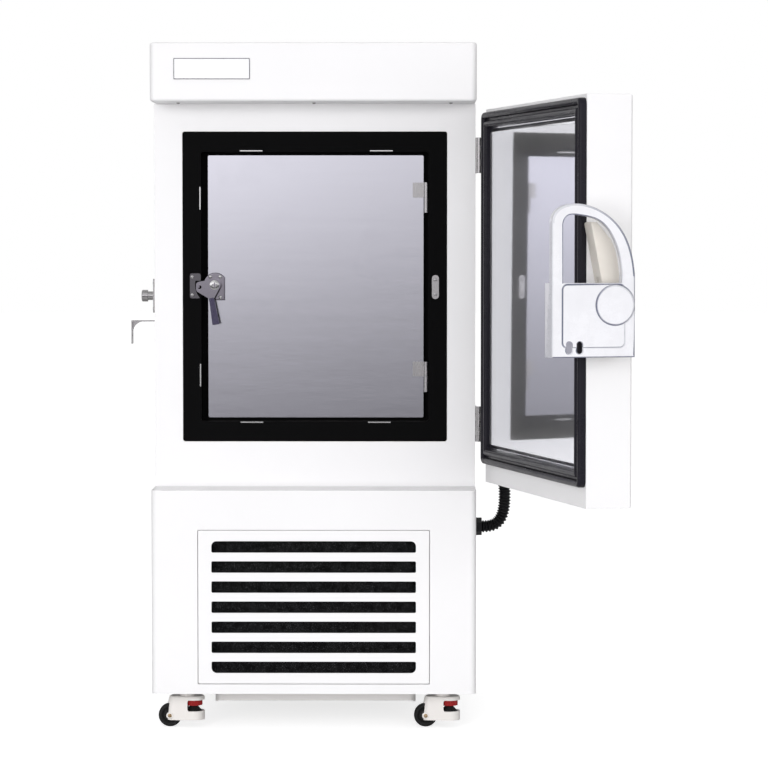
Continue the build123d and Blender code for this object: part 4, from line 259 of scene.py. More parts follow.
def brushed(name, stretch):
    """Fine strokes along one axis, with broad rolled bands under them."""
    tree, given, out = new_group(name, SKIN_INPUTS, SKIN_OUTPUTS)
    strokes = noise(tree, scaled(tree, given.outputs["Place"], stretch), 26.0, 5.0, 0.65)
    wide = tuple(max(value * 0.16, 0.6) for value in stretch)
    bands = noise(tree, scaled(tree, given.outputs["Place"], wide), 7.0, 3.0, 0.5)
    shade = result(tree, between(tree, strokes, 0.25, 0.75, 0.95, 1.03),
                   between(tree, bands, 0.3, 0.7, -0.015, 0.015))
    tree.links.new(shaded(tree, given.outputs["Colour"], shade), out.inputs["Colour"])
    rough = result(tree, between(tree, strokes, 0.3, 0.7, 0.82, 1.18), given.outputs["Roughness"], "MULTIPLY")
    tree.links.new(result(tree, rough, between(tree, bands, 0.3, 0.7, 0.96, 1.04), "MULTIPLY", True),
                   out.inputs["Roughness"])
    tree.links.new(result(tree, strokes, given.outputs["Depth"], "MULTIPLY"), out.inputs["Height"])
    return tree


def moulded_grain():
    """Spark-eroded texture of a plastic or rubber moulding."""
    tree, given, out = new_group("Moulded grain", SKIN_INPUTS, SKIN_OUTPUTS)
    size = node(tree, "ShaderNodeVectorMath", {"operation": "SCALE"}, i0=given.outputs["Place"])
    tree.links.new(given.outputs["Grain size"], size.inputs["Scale"])
    pits = node(tree, "ShaderNodeTexVoronoi", {"feature": "SMOOTH_F1"},
                Vector=size.outputs[0], Scale=1100.0).outputs[0]
    flow = noise(tree, given.outputs["Place"], 9.0, 4.0, 0.6)
    shade = between(tree, flow, 0.3, 0.7, 0.94, 1.04)
    tree.links.new(shaded(tree, given.outputs["Colour"], shade), out.inputs["Colour"])
    rough = result(tree, between(tree, flow, 0.3, 0.7, -0.05, 0.06), given.outputs["Roughness"])
    tree.links.new(result(tree, rough, between(tree, pits, 0.0, 0.6, 0.03, -0.03), clamp=True),
                   out.inputs["Roughness"])
    tree.links.new(result(tree, pits, given.outputs["Depth"], "MULTIPLY"), out.inputs["Height"])
    return tree


def open_mesh():
    """Reticulated filter mesh: dark cells between threads, with painted glints on the threads."""
    tree, given, out = new_group("Open mesh", SKIN_INPUTS, SKIN_OUTPUTS)
    place = given.outputs["Place"]
    cells = node(tree, "ShaderNodeTexVoronoi", {"feature": "DISTANCE_TO_EDGE"},
                 Vector=place, Scale=330.0).outputs[0]
    threads = between(tree, cells, 0.02, 0.14, 1.0, 0.0)
    # Painted highlights: bright specks on the threads stand in for glints
    glint_specks = between(tree, noise(tree, place, 520.0, 2.0), 0.52, 0.74)
    blotches = between(tree, noise(tree, place, 95.0, 3.0), 0.35, 0.62, 0.45, 1.15)
    painted_glint_mask = result(tree, threads, glint_specks, "MULTIPLY")
    painted_glint_colour = node(tree, "ShaderNodeVectorMath", {"operation": "SCALE"},
                  i0=given.outputs["Colour"], Scale=11.0).outputs[0]
    painted_glints = tinted(tree, painted_glint_mask, given.outputs["Colour"], painted_glint_colour)
    tree.links.new(shaded(tree, painted_glints, blotches), out.inputs["Colour"])
    smoother = between(tree, threads, 0.0, 1.0, 0.1, -0.15)
    tree.links.new(result(tree, given.outputs["Roughness"], smoother, clamp=True), out.inputs["Roughness"])
    tree.links.new(result(tree, threads, given.outputs["Depth"], "MULTIPLY"), out.inputs["Height"])
    return tree


def fine_cells():
    """Cut face of rigid foam."""
    tree, given, out = new_group("Foam cells", SKIN_INPUTS, SKIN_OUTPUTS)
    cells = node(tree, "ShaderNodeTexVoronoi", Vector=given.outputs["Place"], Scale=750.0).outputs[0]
    skin = noise(tree, given.outputs["Place"], 14.0, 4.0)
    shade = result(tree, between(tree, cells, 0.0, 0.7, 0.82, 1.04), between(tree, skin, 0.3, 0.7, -0.08, 0.04))
    tree.links.new(shaded(tree, given.outputs["Colour"], shade), out.inputs["Colour"])
    tree.links.new(given.outputs["Roughness"], out.inputs["Roughness"])
    tree.links.new(result(tree, cells, given.outputs["Depth"], "MULTIPLY"), out.inputs["Height"])
    return tree


def handling_marks():
    """Smudges and short rubs: the colour and roughness with marks over them."""
    tree, given, out = new_group(
        "Handling marks",
        [("Place", "NodeSocketVector", None), ("Colour", "NodeSocketColor", (0.8, 0.8, 0.8, 1.0)),
         ("Roughness", "NodeSocketFloat", 0.4), ("Amount", "NodeSocketFloat", 0.3)],
        [("Colour", "NodeSocketColor"), ("Roughness", "NodeSocketFloat")])
    smudge = between(tree, noise(tree, given.outputs["Place"], 11.0, 5.0, 0.62), 0.55, 0.78)
    drawn = scaled(tree, given.outputs["Place"], (30.0, 30.0, 190.0))
    rubs = between(tree, noise(tree, drawn, 4.0, 3.0), 0.68, 0.76)
    marks = result(tree, result(tree, smudge, result(tree, rubs, 0.6, "MULTIPLY"), "MAXIMUM"),
                   given.outputs["Amount"], "MULTIPLY")
    darker = node(tree, "ShaderNodeVectorMath", {"operation": "SCALE"},
                  i0=given.outputs["Colour"], Scale=0.86).outputs[0]
    tree.links.new(tinted(tree, marks, given.outputs["Colour"], darker), out.inputs["Colour"])
    rougher = result(tree, result(tree, marks, 0.6, "MULTIPLY"), 1.0)
    tree.links.new(result(tree, given.outputs["Roughness"], rougher, "MULTIPLY", True), out.inputs["Roughness"])
    return tree


def settled_dust():
    """Dust where a surface looks up."""
    tree, given, out = new_group(
        "Settled dust",
        [("Place", "NodeSocketVector", None), ("Colour", "NodeSocketColor", (0.8, 0.8, 0.8, 1.0)),
         ("Roughness", "NodeSocketFloat", 0.4), ("Amount", "NodeSocketFloat", 0.1)],
        [("Colour", "NodeSocketColor"), ("Roughness", "NodeSocketFloat")])
    normal = node(tree, "ShaderNodeNewGeometry").outputs["Normal"]
    up = node(tree, "ShaderNodeSeparateXYZ", Vector=normal).outputs[2]
    patches = between(tree, noise(tree, given.outputs["Place"], 38.0, 5.0, 0.7), 0.35, 0.7)
    lying = result(tree, between(tree, up, 0.6, 1.0), patches, "MULTIPLY")
    lying = result(tree, lying, given.outputs["Amount"], "MULTIPLY")
    tree.links.new(tinted(tree, lying, given.outputs["Colour"], (0.52, 0.50, 0.46, 1.0)), out.inputs["Colour"])
    tree.links.new(result(tree, given.outputs["Roughness"], result(tree, lying, 0.5, "MULTIPLY"), clamp=True),
                   out.inputs["Roughness"])
    return tree


EFFECTS = {
    "coat": powder_coat,
    "along_x": lambda: brushed("Brushed across", (1.2, 46.0, 46.0)),
    "along_z": lambda: brushed("Brushed upright", (46.0, 46.0, 1.2)),
    "turned": lambda: brushed("Fine rolled", (20.0, 20.0, 20.0)),
    "grain": moulded_grain,
    "mesh": open_mesh,
    "cells": fine_cells,
    "marks": handling_marks,
    "dust": settled_dust,
}


def effect(key):
    name = "effect_" + key
    if name not in bpy.data.node_groups:
        EFFECTS[key]().name = name
    return bpy.data.node_groups[name]


# The finishes: effect, tint, roughness, metallic, coat weight, specular level,
# grain size, grain depth and bump in metres. A tint that is a word is one of the settings above.
FINISHES = {
    "body_white": ("coat", "cabinet", 0.36, 0.0, 0.2, 0.5, 1.0, 1.0, 0.00005),
    "door_white": ("coat", "cabinet", 0.34, 0.0, 0.2, 0.5, 1.0, 1.0, 0.00005),
    "grille_white": ("coat", "cabinet", 0.36, 0.0, 0.2, 0.5, 1.1, 1.0, 0.00005),
    "insulation": ("cells", (0.80, 0.70, 0.42), 0.85, 0.0, 0.0, 0.3, 1.0, 1.0, 0.0003),
    "frame_black": ("grain", "moulding", 0.45, 0.0, 0.0, 0.03, 1.0, 1.0, 0.00005),
    "stainless_liner": ("along_z", "stainless", 0.12, 1.0, 0.0, 0.5, 1.0, 0.5, 0.000003),
    "stainless_pan": ("along_z", (0.84, 0.85, 0.90), 0.05, 1.0, 1.0, 0.5, 1.0, 0.1, 0.000001),
    "stainless_door": ("along_x", "stainless", 0.15, 1.0, 0.0, 0.5, 1.0, 1.0, 0.000003),
    "copper": ("turned", (0.70, 0.30, 0.17), 0.34, 1.0, 0.0, 0.5, 1.0, 1.0, 0.00004),
    "gasket_charcoal": ("grain", "gasket", 0.30, 0.0, 0.0, 0.20, 0.8, 1.0, 0.00002),
    "silicone_grey": ("grain", (0.30, 0.31, 0.32), 0.55, 0.0, 0.0, 0.4, 1.0, 1.0, 0.00005),
    "handle_white": ("grain", "lever", 0.28, 0.0, 0.35, 0.5, 0.7, 0.5, 0.00002),
    "handle_beige": ("grain", "pedestal", 0.42, 0.0, 0.0, 0.4, 0.8, 0.8, 0.00003),
    "zinc": ("turned", "plated", 0.24, 1.0, 0.0, 0.5, 1.0, 0.6, 0.00002),
    "hinge_steel": ("along_z", "plated", 0.26, 1.0, 0.0, 0.5, 1.0, 0.6, 0.00002),
    # Painted reflection: the latch and keeper tints are darkened to stand for the dark room that their chrome
    # reflects
    "latch_metal": ("turned", "latch", 0.10, 1.0, 0.0, 0.5, 1.0, 0.6, 0.00001),
    "latch_dark": ("turned", (0.13, 0.125, 0.135), 0.18, 1.0, 0.0, 0.5, 1.0, 0.6, 0.00002),
    "grip_black": ("grain", "grip", 0.30, 0.0, 0.0, 0.4, 0.7, 1.0, 0.00004),
    "filter_mesh": ("mesh", (0.0085, 0.0085, 0.009), 0.75, 0.0, 0.0, 0.04, 1.0, 1.0, 0.0006),
    "aluminium_fins": ("along_z", (0.60, 0.61, 0.62), 0.35, 1.0, 0.0, 0.5, 1.0, 1.0, 0.00003),
    "galvanised": ("turned", (0.50, 0.51, 0.52), 0.45, 1.0, 0.0, 0.5, 1.0, 1.0, 0.00004),
    "pan_beige": ("coat", (0.86, 0.84, 0.82), 0.40, 0.0, 0.1, 0.5, 1.0, 1.0, 0.00006),
    "compressor_black": ("coat", (0.012, 0.012, 0.013), 0.28, 0.0, 0.4, 0.5, 0.6, 1.0, 0.00012),
    "foam_sleeve": ("grain", (0.018, 0.018, 0.018), 0.85, 0.0, 0.0, 0.3, 0.35, 1.0, 0.0004),
    "panel_dark": ("grain", (0.020, 0.024, 0.030), 0.24, 0.0, 0.3, 0.5, 1.0, 0.4, 0.00002),
    "motor_grey": ("coat", (0.10, 0.10, 0.11), 0.42, 0.0, 0.1, 0.5, 0.8, 1.0, 0.0001),
    "inlet_black": ("grain", (0.014, 0.014, 0.015), 0.45, 0.0, 0.0, 0.4, 0.8, 1.0, 0.00006),
    "caster_ivory": ("coat", "caster", 0.34, 0.0, 0.3, 0.5, 0.7, 1.0, 0.00006),
    "tyre_black": ("grain", (0.010, 0.010, 0.010), 0.55, 0.0, 0.0, 0.35, 0.6, 1.0, 0.0001),
    "thumbwheel_red": ("grain", "thumbwheel", 0.34, 0.0, 0.1, 0.4, 0.9, 0.6, 0.00004),
    "pad_black": ("grain", (0.010, 0.010, 0.010), 0.60, 0.0, 0.0, 0.35, 0.6, 1.0, 0.0001),
    "hose_grey": ("grain", (0.0065, 0.0065, 0.0075), 0.36, 0.0, 0.0, 0.25, 0.8, 1.0, 0.00004),
    "gland_black": ("grain", (0.008, 0.008, 0.009), 0.38, 0.0, 0.0, 0.25, 0.8, 1.0, 0.00004),
    "badge_bare": ("coat", (0.88, 0.88, 0.89), 0.22, 0.0, 0.6, 0.5, 0.6, 0.4, 0.00002),
    # Painted shade: the badge border's grey tint stands in for the shade along the plate's edge
    "badge_trim": ("turned", (0.34, 0.34, 0.36), 0.30, 1.0, 0.0, 0.5, 1.0, 0.6, 0.00001),
    "clip_bright": ("along_x", (0.66, 0.66, 0.65), 0.22, 1.0, 0.0, 0.5, 1.0, 0.6, 0.00002),
    "axle_brass": ("turned", (0.55, 0.38, 0.20), 0.30, 1.0, 0.0, 0.5, 1.0, 0.6, 0.00002),
    "display_glass": ("grain", (0.008, 0.020, 0.030), 0.06, 0.0, 0.5, 0.5, 1.0, 0.1, 0.00001),
    "key_grey": ("grain", (0.20, 0.21, 0.23), 0.48, 0.0, 0.0, 0.4, 0.8, 1.0, 0.00004),
}


def finish_for(name):
    """The material of one finish, made the first time that a piece needs it."""
    title = "finish_" + name
    if title in bpy.data.materials:
        return bpy.data.materials[title]
    key, tint, rough, metal, coat, specular, size, depth, bump = FINISHES[name]
    wanted = bpy.context.scene.freezer_finishes
    tint = tuple(getattr(wanted, tint)) if isinstance(tint, str) else tint
    look = bpy.data.materials.new(title)
    look.use_nodes = True
    tree = look.node_tree
    shader = tree.nodes["Principled BSDF"]
    shader.inputs["Metallic"].default_value = metal
    shader.inputs["Specular IOR Level"].default_value = specular
    shader.inputs["Coat Weight"].default_value = coat
    shader.inputs["Coat Roughness"].default_value = 0.34 if name == "stainless_pan" else 0.12
    shader.inputs["Coat IOR"].default_value = 2.4 if name == "stainless_pan" else 1.5
    place = node(tree, "ShaderNodeTexCoord").outputs["Object"]
    base = (*tint, 1.0)
    # Painted shade: the lever's flanks, rim and recess are tinted darker from a per-face attribute
    if name == "handle_white":
        flank = node(tree, "ShaderNodeAttribute", {"attribute_name": "flank"}).outputs["Fac"]
        base = tinted(tree, flank, base, (*wanted.flank, 1.0))
    skin = node(tree, "ShaderNodeGroup", {"node_tree": effect(key)}, Place=place, Colour=base,
                Roughness=rough, Grain_size=size, Depth=depth).outputs
    marks = node(tree, "ShaderNodeGroup", {"node_tree": effect("marks")}, Place=place, Colour=skin["Colour"],
                 Roughness=skin["Roughness"], Amount=wanted.handling * (0.25 if metal < 1 else 0.5)).outputs
    dust = node(tree, "ShaderNodeGroup", {"node_tree": effect("dust")}, Place=place, Colour=marks["Colour"],
                Roughness=marks["Roughness"], Amount=wanted.dust).outputs
    relief = node(tree, "ShaderNodeBump", Height=skin["Height"], Strength=0.6, Distance=bump).outputs["Normal"]
    tree.links.new(dust["Colour"], shader.inputs["Base Color"])
    tree.links.new(dust["Roughness"], shader.inputs["Roughness"])
    tree.links.new(relief, shader.inputs["Normal"])
    return look


# Modelling helpers

def alone(piece):
    if bpy.context.object and bpy.context.object.mode != "OBJECT":
        bpy.ops.object.mode_set(mode="OBJECT")
    bpy.ops.object.select_all(action="DESELECT")
    piece.select_set(True)
    bpy.context.view_layer.objects.active = piece


def modified(piece, kind, **settings):
    alone(piece)
    modifier = piece.modifiers.new(kind.title(), kind)
    for key, value in settings.items():
        setattr(modifier, key, value)
    bpy.ops.object.modifier_apply(modifier=modifier.name)


def settled(piece, name, look, body):
    """Names a finished piece, gives it its finish and its body, and puts its place into its mesh."""
    alone(piece)
    bpy.ops.object.transform_apply(location=True, rotation=True, scale=True)
    bpy.ops.object.shade_smooth_by_angle(angle=math.radians(35))
    modified(piece, "WEIGHTED_NORMAL", keep_sharp=True, weight=50)
    piece.name = name
    piece.data.name = name
    piece.data.materials.clear()
    piece.data.materials.append(finish_for(look))
    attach(piece, body)


def body_under(cad):
    return frame["nodes"][cad]["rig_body"]


def welded(cad, look, edge=0.0, segments=2, limit=38.0, shaped=None):
    """A copy of a CAD node with its corners welded and its edges eased, shown in the node's place."""
    source = frame["nodes"][cad]
    piece = bpy.data.objects.new(cad + "_finished", source.data.copy())
    bpy.context.scene.collection.objects.link(piece)
    alone(piece)
    bpy.ops.object.mode_set(mode="EDIT")
    bpy.ops.mesh.select_all(action="SELECT")
    bpy.ops.mesh.remove_doubles(threshold=0.000002)
    bpy.ops.mesh.customdata_custom_splitnormals_clear()
    bpy.ops.object.mode_set(mode="OBJECT")
    if shaped:
        shaped(piece)
    if edge:
        modified(piece, "BEVEL", width=edge, segments=segments, limit_method="ANGLE",
                 angle_limit=math.radians(limit), use_clamp_overlap=True, miter_outer="MITER_ARC")
    settled(piece, cad + "_finished", look, body_under(cad))
    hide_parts(cad)


def inset_with_painted_shade(piece, level, width, ways):
    """Insets a front face of a handle moulding, and paints shade on its border and flanks with a darker tint.

    The level is how far the face lies behind the foremost one. A flank that looks one of the ways gets the
    darkest painted shade.
    """
    front = max(HANDLE_OUT.dot(corner.co) for corner in piece.data.vertices) - level

    def on_front(middle, normal):
        return normal.dot(HANDLE_OUT) > 0.999 and abs(HANDLE_OUT.dot(middle) - front) < 0.0004

    if "flank" not in piece.data.attributes:
        piece.data.attributes.new("flank", "FLOAT", "FACE")
    select_faces(piece, on_front)
    bpy.ops.mesh.inset(thickness=width, depth=0.0, use_even_offset=False)
    bpy.ops.object.mode_set(mode="OBJECT")
    painted_flank_shades = {}
    marks = piece.data.attributes["flank"].data
    corners = piece.data.vertices
    for face in piece.data.polygons:
        foremost = max(HANDLE_OUT.dot(corners[index].co) for index in face.vertices)
        aside = face.normal - HANDLE_OUT * face.normal.dot(HANDLE_OUT)
        if aside.length > 0.1 and -0.0004 < front - foremost < 0.004:
            value = 0.25 + 0.75 * min(1.0, max(0.0, *(aside.normalized().dot(way) for way in ways)))
            marks[face.index].value = value
            painted_flank_shades.update({edge: value for edge in face.edge_keys})
    for face in piece.data.polygons:
        if on_front(face.center, face.normal) and not face.select:
            beside = [painted_flank_shades[edge] for edge in face.edge_keys if edge in painted_flank_shades]
            marks[face.index].value = max(beside, default=0.3)


def paint_recess_shade(piece, low, high):
    """Paints shade on the faces that look forward between two depths behind the front."""
    front = max(HANDLE_OUT.dot(corner.co) for corner in piece.data.vertices)
    marks = piece.data.attributes["flank"].data
    for face in piece.data.polygons:
        if face.normal.dot(HANDLE_OUT) > 0.9 and low < front - HANDLE_OUT.dot(face.center) < high:
            marks[face.index].value = 1.0


def lever_front(piece):
    """Paints shade on the lever's rim and flanks, and on the recess round its cover as a dark line."""
    inset_with_painted_shade(piece, 0.0, 0.0020, (DOOR_OUT, Vector((0, 0, -1))))
    paint_recess_shade(piece, 0.0012, 0.0022)


def cover_front(piece):
    """Fills the cover's shallow grooves, which the photograph doesn't show, and paints shade on its borders and
    flanks.
    """
    front = max(HANDLE_OUT.dot(corner.co) for corner in piece.data.vertices) - COVER_STEP
    for corner in piece.data.vertices:
        short = front - HANDLE_OUT.dot(corner.co)
        if GROOVE_DEPTHS[0] < short < GROOVE_DEPTHS[1]:
            corner.co += HANDLE_OUT * short
    alone(piece)
    bpy.ops.object.mode_set(mode="EDIT")
    bpy.ops.mesh.select_all(action="SELECT")
    bpy.ops.mesh.remove_doubles(threshold=0.000005)
    bpy.ops.object.mode_set(mode="OBJECT")
    inset_with_painted_shade(piece, 0.0, 0.0010, (-DOOR_OUT, Vector((0, 0, -1))))
    inset_with_painted_shade(piece, COVER_STEP, 0.0010, (-DOOR_OUT, Vector((0, 0, 1)), Vector((0, 0, -1))))


def select_faces(piece, test):
    """Selects the faces whose middle and normal pass a test, and enters edit mode."""
    alone(piece)
    bpy.ops.object.mode_set(mode="EDIT")
    bpy.ops.mesh.select_all(action="DESELECT")
    bpy.ops.mesh.select_mode(type="FACE")
    bpy.ops.object.mode_set(mode="OBJECT")
    for face in piece.data.polygons:
        face.select = bool(test(face.center, face.normal))
    bpy.ops.object.mode_set(mode="EDIT")


def plate(low, high, edge, corner=0.0, segments=3):
    """A flat piece between two corners, with its thin side's corners rounded and its edges eased."""
    low, high = Vector(low), Vector(high)
    bpy.ops.object.select_all(action="DESELECT")
    bpy.ops.mesh.primitive_cube_add(size=1.0, location=(low + high) / 2)
    piece = bpy.context.object
    piece.scale = high - low
    bpy.ops.object.transform_apply(location=True, rotation=True, scale=True)
    if corner:
        thin = min(range(3), key=lambda axis: high[axis] - low[axis])
        bpy.ops.object.mode_set(mode="EDIT")
        bpy.ops.mesh.select_mode(type="EDGE")
        bpy.ops.mesh.select_all(action="DESELECT")
        bpy.ops.object.mode_set(mode="OBJECT")
        corners = piece.data.vertices
        for side in piece.data.edges:
            run = corners[side.vertices[1]].co - corners[side.vertices[0]].co
            side.select = abs(run[thin]) > run.length * 0.9
        bpy.ops.object.mode_set(mode="EDIT")
        bpy.ops.mesh.bevel(offset=corner, segments=8, affect="EDGES")
        bpy.ops.object.mode_set(mode="OBJECT")
    modified(piece, "BEVEL", width=edge, segments=segments, limit_method="ANGLE", angle_limit=math.radians(40))
    return piece


def merged(pieces):
    bpy.ops.object.select_all(action="DESELECT")
    for piece in pieces:
        piece.select_set(True)
    bpy.context.view_layer.objects.active = pieces[0]
    bpy.ops.object.join()
    return pieces[0]


def screws(places, way, radius, height, cross=True):
    """Small pan-headed screws, their heads towards way: one is modelled, the others are copies."""
    bpy.ops.object.select_all(action="DESELECT")
    bpy.ops.mesh.primitive_cylinder_add(vertices=28, radius=radius, depth=height, location=(0, 0, height / 2))
    first = bpy.context.object
    bpy.ops.object.transform_apply(location=True, rotation=True, scale=True)
    select_faces(first, lambda middle, normal: normal.z > 0.9)
    bpy.ops.mesh.inset(thickness=radius * 0.35, depth=height * 0.25)
    bpy.ops.mesh.inset(thickness=radius * 0.25, depth=height * 0.05)
    bpy.ops.object.mode_set(mode="OBJECT")
    modified(first, "BEVEL", width=radius * 0.10, segments=2, limit_method="ANGLE",
             angle_limit=math.radians(50))
    for turn in ((0.0, math.pi / 2) if cross else (math.pi / 5,)):
        bpy.ops.object.select_all(action="DESELECT")
        bpy.ops.mesh.primitive_cube_add(size=1.0, location=(0, 0, height * 1.25), rotation=(0, 0, turn))
        cutter = bpy.context.object
        cutter.scale = (radius * 1.05, radius * 0.22, height * 1.1)
        modified(first, "BOOLEAN", operation="DIFFERENCE", object=cutter, solver="EXACT")
        bpy.data.objects.remove(cutter)
    turned = Vector((0, 0, 1)).rotation_difference(Vector(way)).to_matrix().to_4x4()
    copies = []
    for at in places:
        copy = bpy.data.objects.new("screw", first.data.copy())
        bpy.context.scene.collection.objects.link(copy)
        copy.data.transform(Matrix.Translation(at) @ turned)
        copies.append(copy)
    bpy.data.objects.remove(first)
    return merged(copies)


# Operators: one for each piece or group of like pieces

class FREEZER_OT_stage(bpy.types.Operator):
    """Pale floor, soft studio light and the camera at the photograph's angle"""

    bl_idname = "freezer.stage"
    bl_label = "Stage"

    def execute(self, context):
        lens = bpy.data.cameras.new("photograph")
        lens.lens, lens.sensor_width = 136.61, 36.0
        camera = bpy.data.objects.new("photograph", lens)
        context.scene.collection.objects.link(camera)
        camera.location = (0.1815, -6.420, 1.0147)
        camera.rotation_euler = (math.radians(87.324), 0.0, math.radians(0.324))
        context.scene.camera = camera
        context.scene.view_settings.view_transform = "Standard"
        self.lay_floor()
        self.surround(context.scene)
        for name, at, aim, size, power in (
            ("key", (-2.1, -5.8, 1.3), (0.0, -0.3, 0.75), 2.8, 152.0),
            ("fill", (2.7, -5.6, 1.1), (0.1, -0.3, 0.75), 2.8, 94.0),
            ("top", (0.0, -0.6, 4.2), (0.0, 0.0, 0.6), 2.6, 16.0),
        ):
            lamp = bpy.data.lights.new(name, "AREA")
            lamp.size, lamp.energy = size, power
            light = bpy.data.objects.new(name, lamp)
            context.scene.collection.objects.link(light)
            light.visible_glossy = False
            light.location = at
            light.rotation_euler = (Vector(aim) - Vector(at)).to_track_quat("-Z", "Y").to_euler()
        return {"FINISHED"}

    def lay_floor(self):
        """A white floor under the freezer that keeps only a faint shadow."""
        bpy.ops.object.select_all(action="DESELECT")
        bpy.ops.mesh.primitive_plane_add(size=1.0, location=(0.0, 18.0, 0.0))
        floor = bpy.context.object
        floor.scale = (60.0, 41.0, 1.0)
        bpy.ops.object.transform_apply(location=True, rotation=True, scale=True)
        floor.name = "studio_floor"
        look = bpy.data.materials.new("studio_floor")
        look.use_nodes = True
        tree = look.node_tree
        shader = tree.nodes["Principled BSDF"]
        shader.inputs["Base Color"].default_value = (0.60, 0.60, 0.60, 1.0)
        shader.inputs["Roughness"].default_value = 0.9
        shader.inputs["Emission Color"].default_value = (1.0, 1.0, 1.0, 1.0)
        seen = node(tree, "ShaderNodeLightPath").outputs["Is Camera Ray"]
        tree.links.new(result(tree, seen, 0.72, "MULTIPLY"), shader.inputs["Emission Strength"])
        floor.data.materials.append(look)

    def surround(self, scene):
        """White behind the freezer, and a room with a darker lower half in front of it."""
        world = scene.world or bpy.data.worlds.new("Studio")
        scene.world = world
        world.use_nodes = True
        tree = world.node_tree
        way = node(tree, "ShaderNodeSeparateXYZ", Vector=node(tree, "ShaderNodeTexCoord").outputs["Generated"])
        ahead = node(tree, "ShaderNodeValToRGB", Fac=between(tree, way.outputs[2], -0.5, 0.5))
        ramp = ahead.color_ramp
        ramp.elements[0].position, ramp.elements[0].color = 0.38, (0.12, 0.115, 0.13, 1.0)
        ramp.elements[1].position, ramp.elements[1].color = 0.75, (0.95, 0.95, 0.97, 1.0)
        for position, level in ((0.44, 0.36), (0.485, 0.90), (0.525, 1.80), (0.60, 2.10)):
            ramp.elements.new(position).color = (level, level * 0.985, level * 1.02, 1.0)
        lean = between(tree, way.outputs[0], -0.10, 0.04, 1.20, 0.70)
        facing = between(tree, way.outputs[1], -0.75, -0.30, 1.0, 0.0)
        beside = between(tree, way.outputs[1], -0.1, 0.7, 0.55, 0.75)
        level = node(tree, "ShaderNodeCombineColor", Red=beside, Green=beside, Blue=beside).outputs[0]
        front = shaded(tree, ahead.outputs["Color"], lean)
        room = node(tree, "ShaderNodeBackground", Color=tinted(tree, facing, level, front), Strength=0.8)
        white = node(tree, "ShaderNodeBackground", Color=(1.0, 1.0, 1.0, 1.0))
        seen = node(tree, "ShaderNodeLightPath").outputs["Is Camera Ray"]
        mixed = node(tree, "ShaderNodeMixShader", i0=seen, i1=room.outputs[0], i2=white.outputs[0])
        tree.links.new(mixed.outputs[0], tree.nodes["World Output"].inputs["Surface"])


class FREEZER_OT_hose(bpy.types.Operator):
    """Corrugated hose between the lower housing and the door, with its two glands"""

    bl_idname = "freezer.hose"
    bl_label = "Hose"

    def execute(self, context):
        sizes = context.scene.freezer_sizes
        line = bpy.data.curves.new("hose_route", "CURVE")
        line.dimensions = "3D"
        line.resolution_u = 48
        spline = line.splines.new("NURBS")
        spline.points.add(len(HOSE_ROUTE) - 1)
        for point, place in zip(spline.points, HOSE_ROUTE):
            point.co = (*place, 1.0)
        spline.order_u = 3
        spline.use_endpoint_u = True
        carrier = bpy.data.objects.new("hose_route", line)
        context.scene.collection.objects.link(carrier)
        context.view_layer.update()
        traced = bpy.data.meshes.new_from_object(carrier)
        path = [corner.co.copy() for corner in traced.vertices]
        bpy.data.objects.remove(carrier)
        bpy.data.curves.remove(line)
        bpy.data.meshes.remove(traced)
        hose, gone = self.ribbed(path, sizes)
        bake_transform(hose)
        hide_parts("conduit_hose")
        welded("hose_fitting_lower", "gland_black", sizes.casting_edge)
        welded("hose_fitting_upper", "gland_black", sizes.casting_edge)
        return {"FINISHED"}

    def ribbed(self, path, sizes):
        """A tube along the path whose radius swells once in each pitch, and the path's length."""
        sides, points, faces, gone = 24, [], [], 0.0
        across = Vector((0, 0, 1))
        for index, centre in enumerate(path):
            gone += (centre - path[max(index - 1, 0)]).length
            way = (path[min(index + 1, len(path) - 1)] - path[max(index - 1, 0)]).normalized()
            across = (across - way * across.dot(way)).normalized()
            other = way.cross(across)
            wave = 0.5 - 0.5 * math.cos(2 * math.pi * gone / sizes.hose_pitch)
            radius = sizes.hose_radius - sizes.hose_groove * (1 - wave ** 0.8)
            for side in range(sides):
                angle = 2 * math.pi * side / sides
                points.append(centre + (across * math.cos(angle) + other * math.sin(angle)) * radius)
        for ring in range(len(path) - 1):
            for side in range(sides):
                step = (side + 1) % sides
                faces.append((ring * sides + side, ring * sides + step,
                              (ring + 1) * sides + step, (ring + 1) * sides + side))
        faces.append(tuple(reversed(range(sides))))
        faces.append(tuple(range((len(path) - 1) * sides, len(path) * sides)))
        mesh = bpy.data.meshes.new("hose")
        mesh.from_pydata(points, [], faces)
        hose = bpy.data.objects.new("hose", mesh)
        bpy.context.scene.collection.objects.link(hose)
        alone(hose)
        bpy.ops.object.mode_set(mode="EDIT")
        bpy.ops.mesh.select_all(action="SELECT")
        bpy.ops.mesh.normals_make_consistent(inside=False)
        bpy.ops.object.mode_set(mode="OBJECT")
        bpy.ops.object.shade_smooth_by_angle(angle=math.radians(60))
        mesh.materials.append(finish_for("hose_grey"))
        return hose, gone


class FREEZER_OT_housings(bpy.types.Operator):
    """Header, recessed body and lower housing in powder-coated sheet, with the foam behind them"""

    bl_idname = "freezer.housings"
    bl_label = "Housings"

    def execute(self, context):
        sizes = context.scene.freezer_sizes
        for cad in ("header_housing", "cabinet_shell", "lower_housing"):
            welded(cad, "body_white", sizes.sheet_edge)
        welded("rear_cover", "body_white", sizes.sheet_edge / 2)
        welded("cabinet_foam", "insulation")
        return {"FINISHED"}


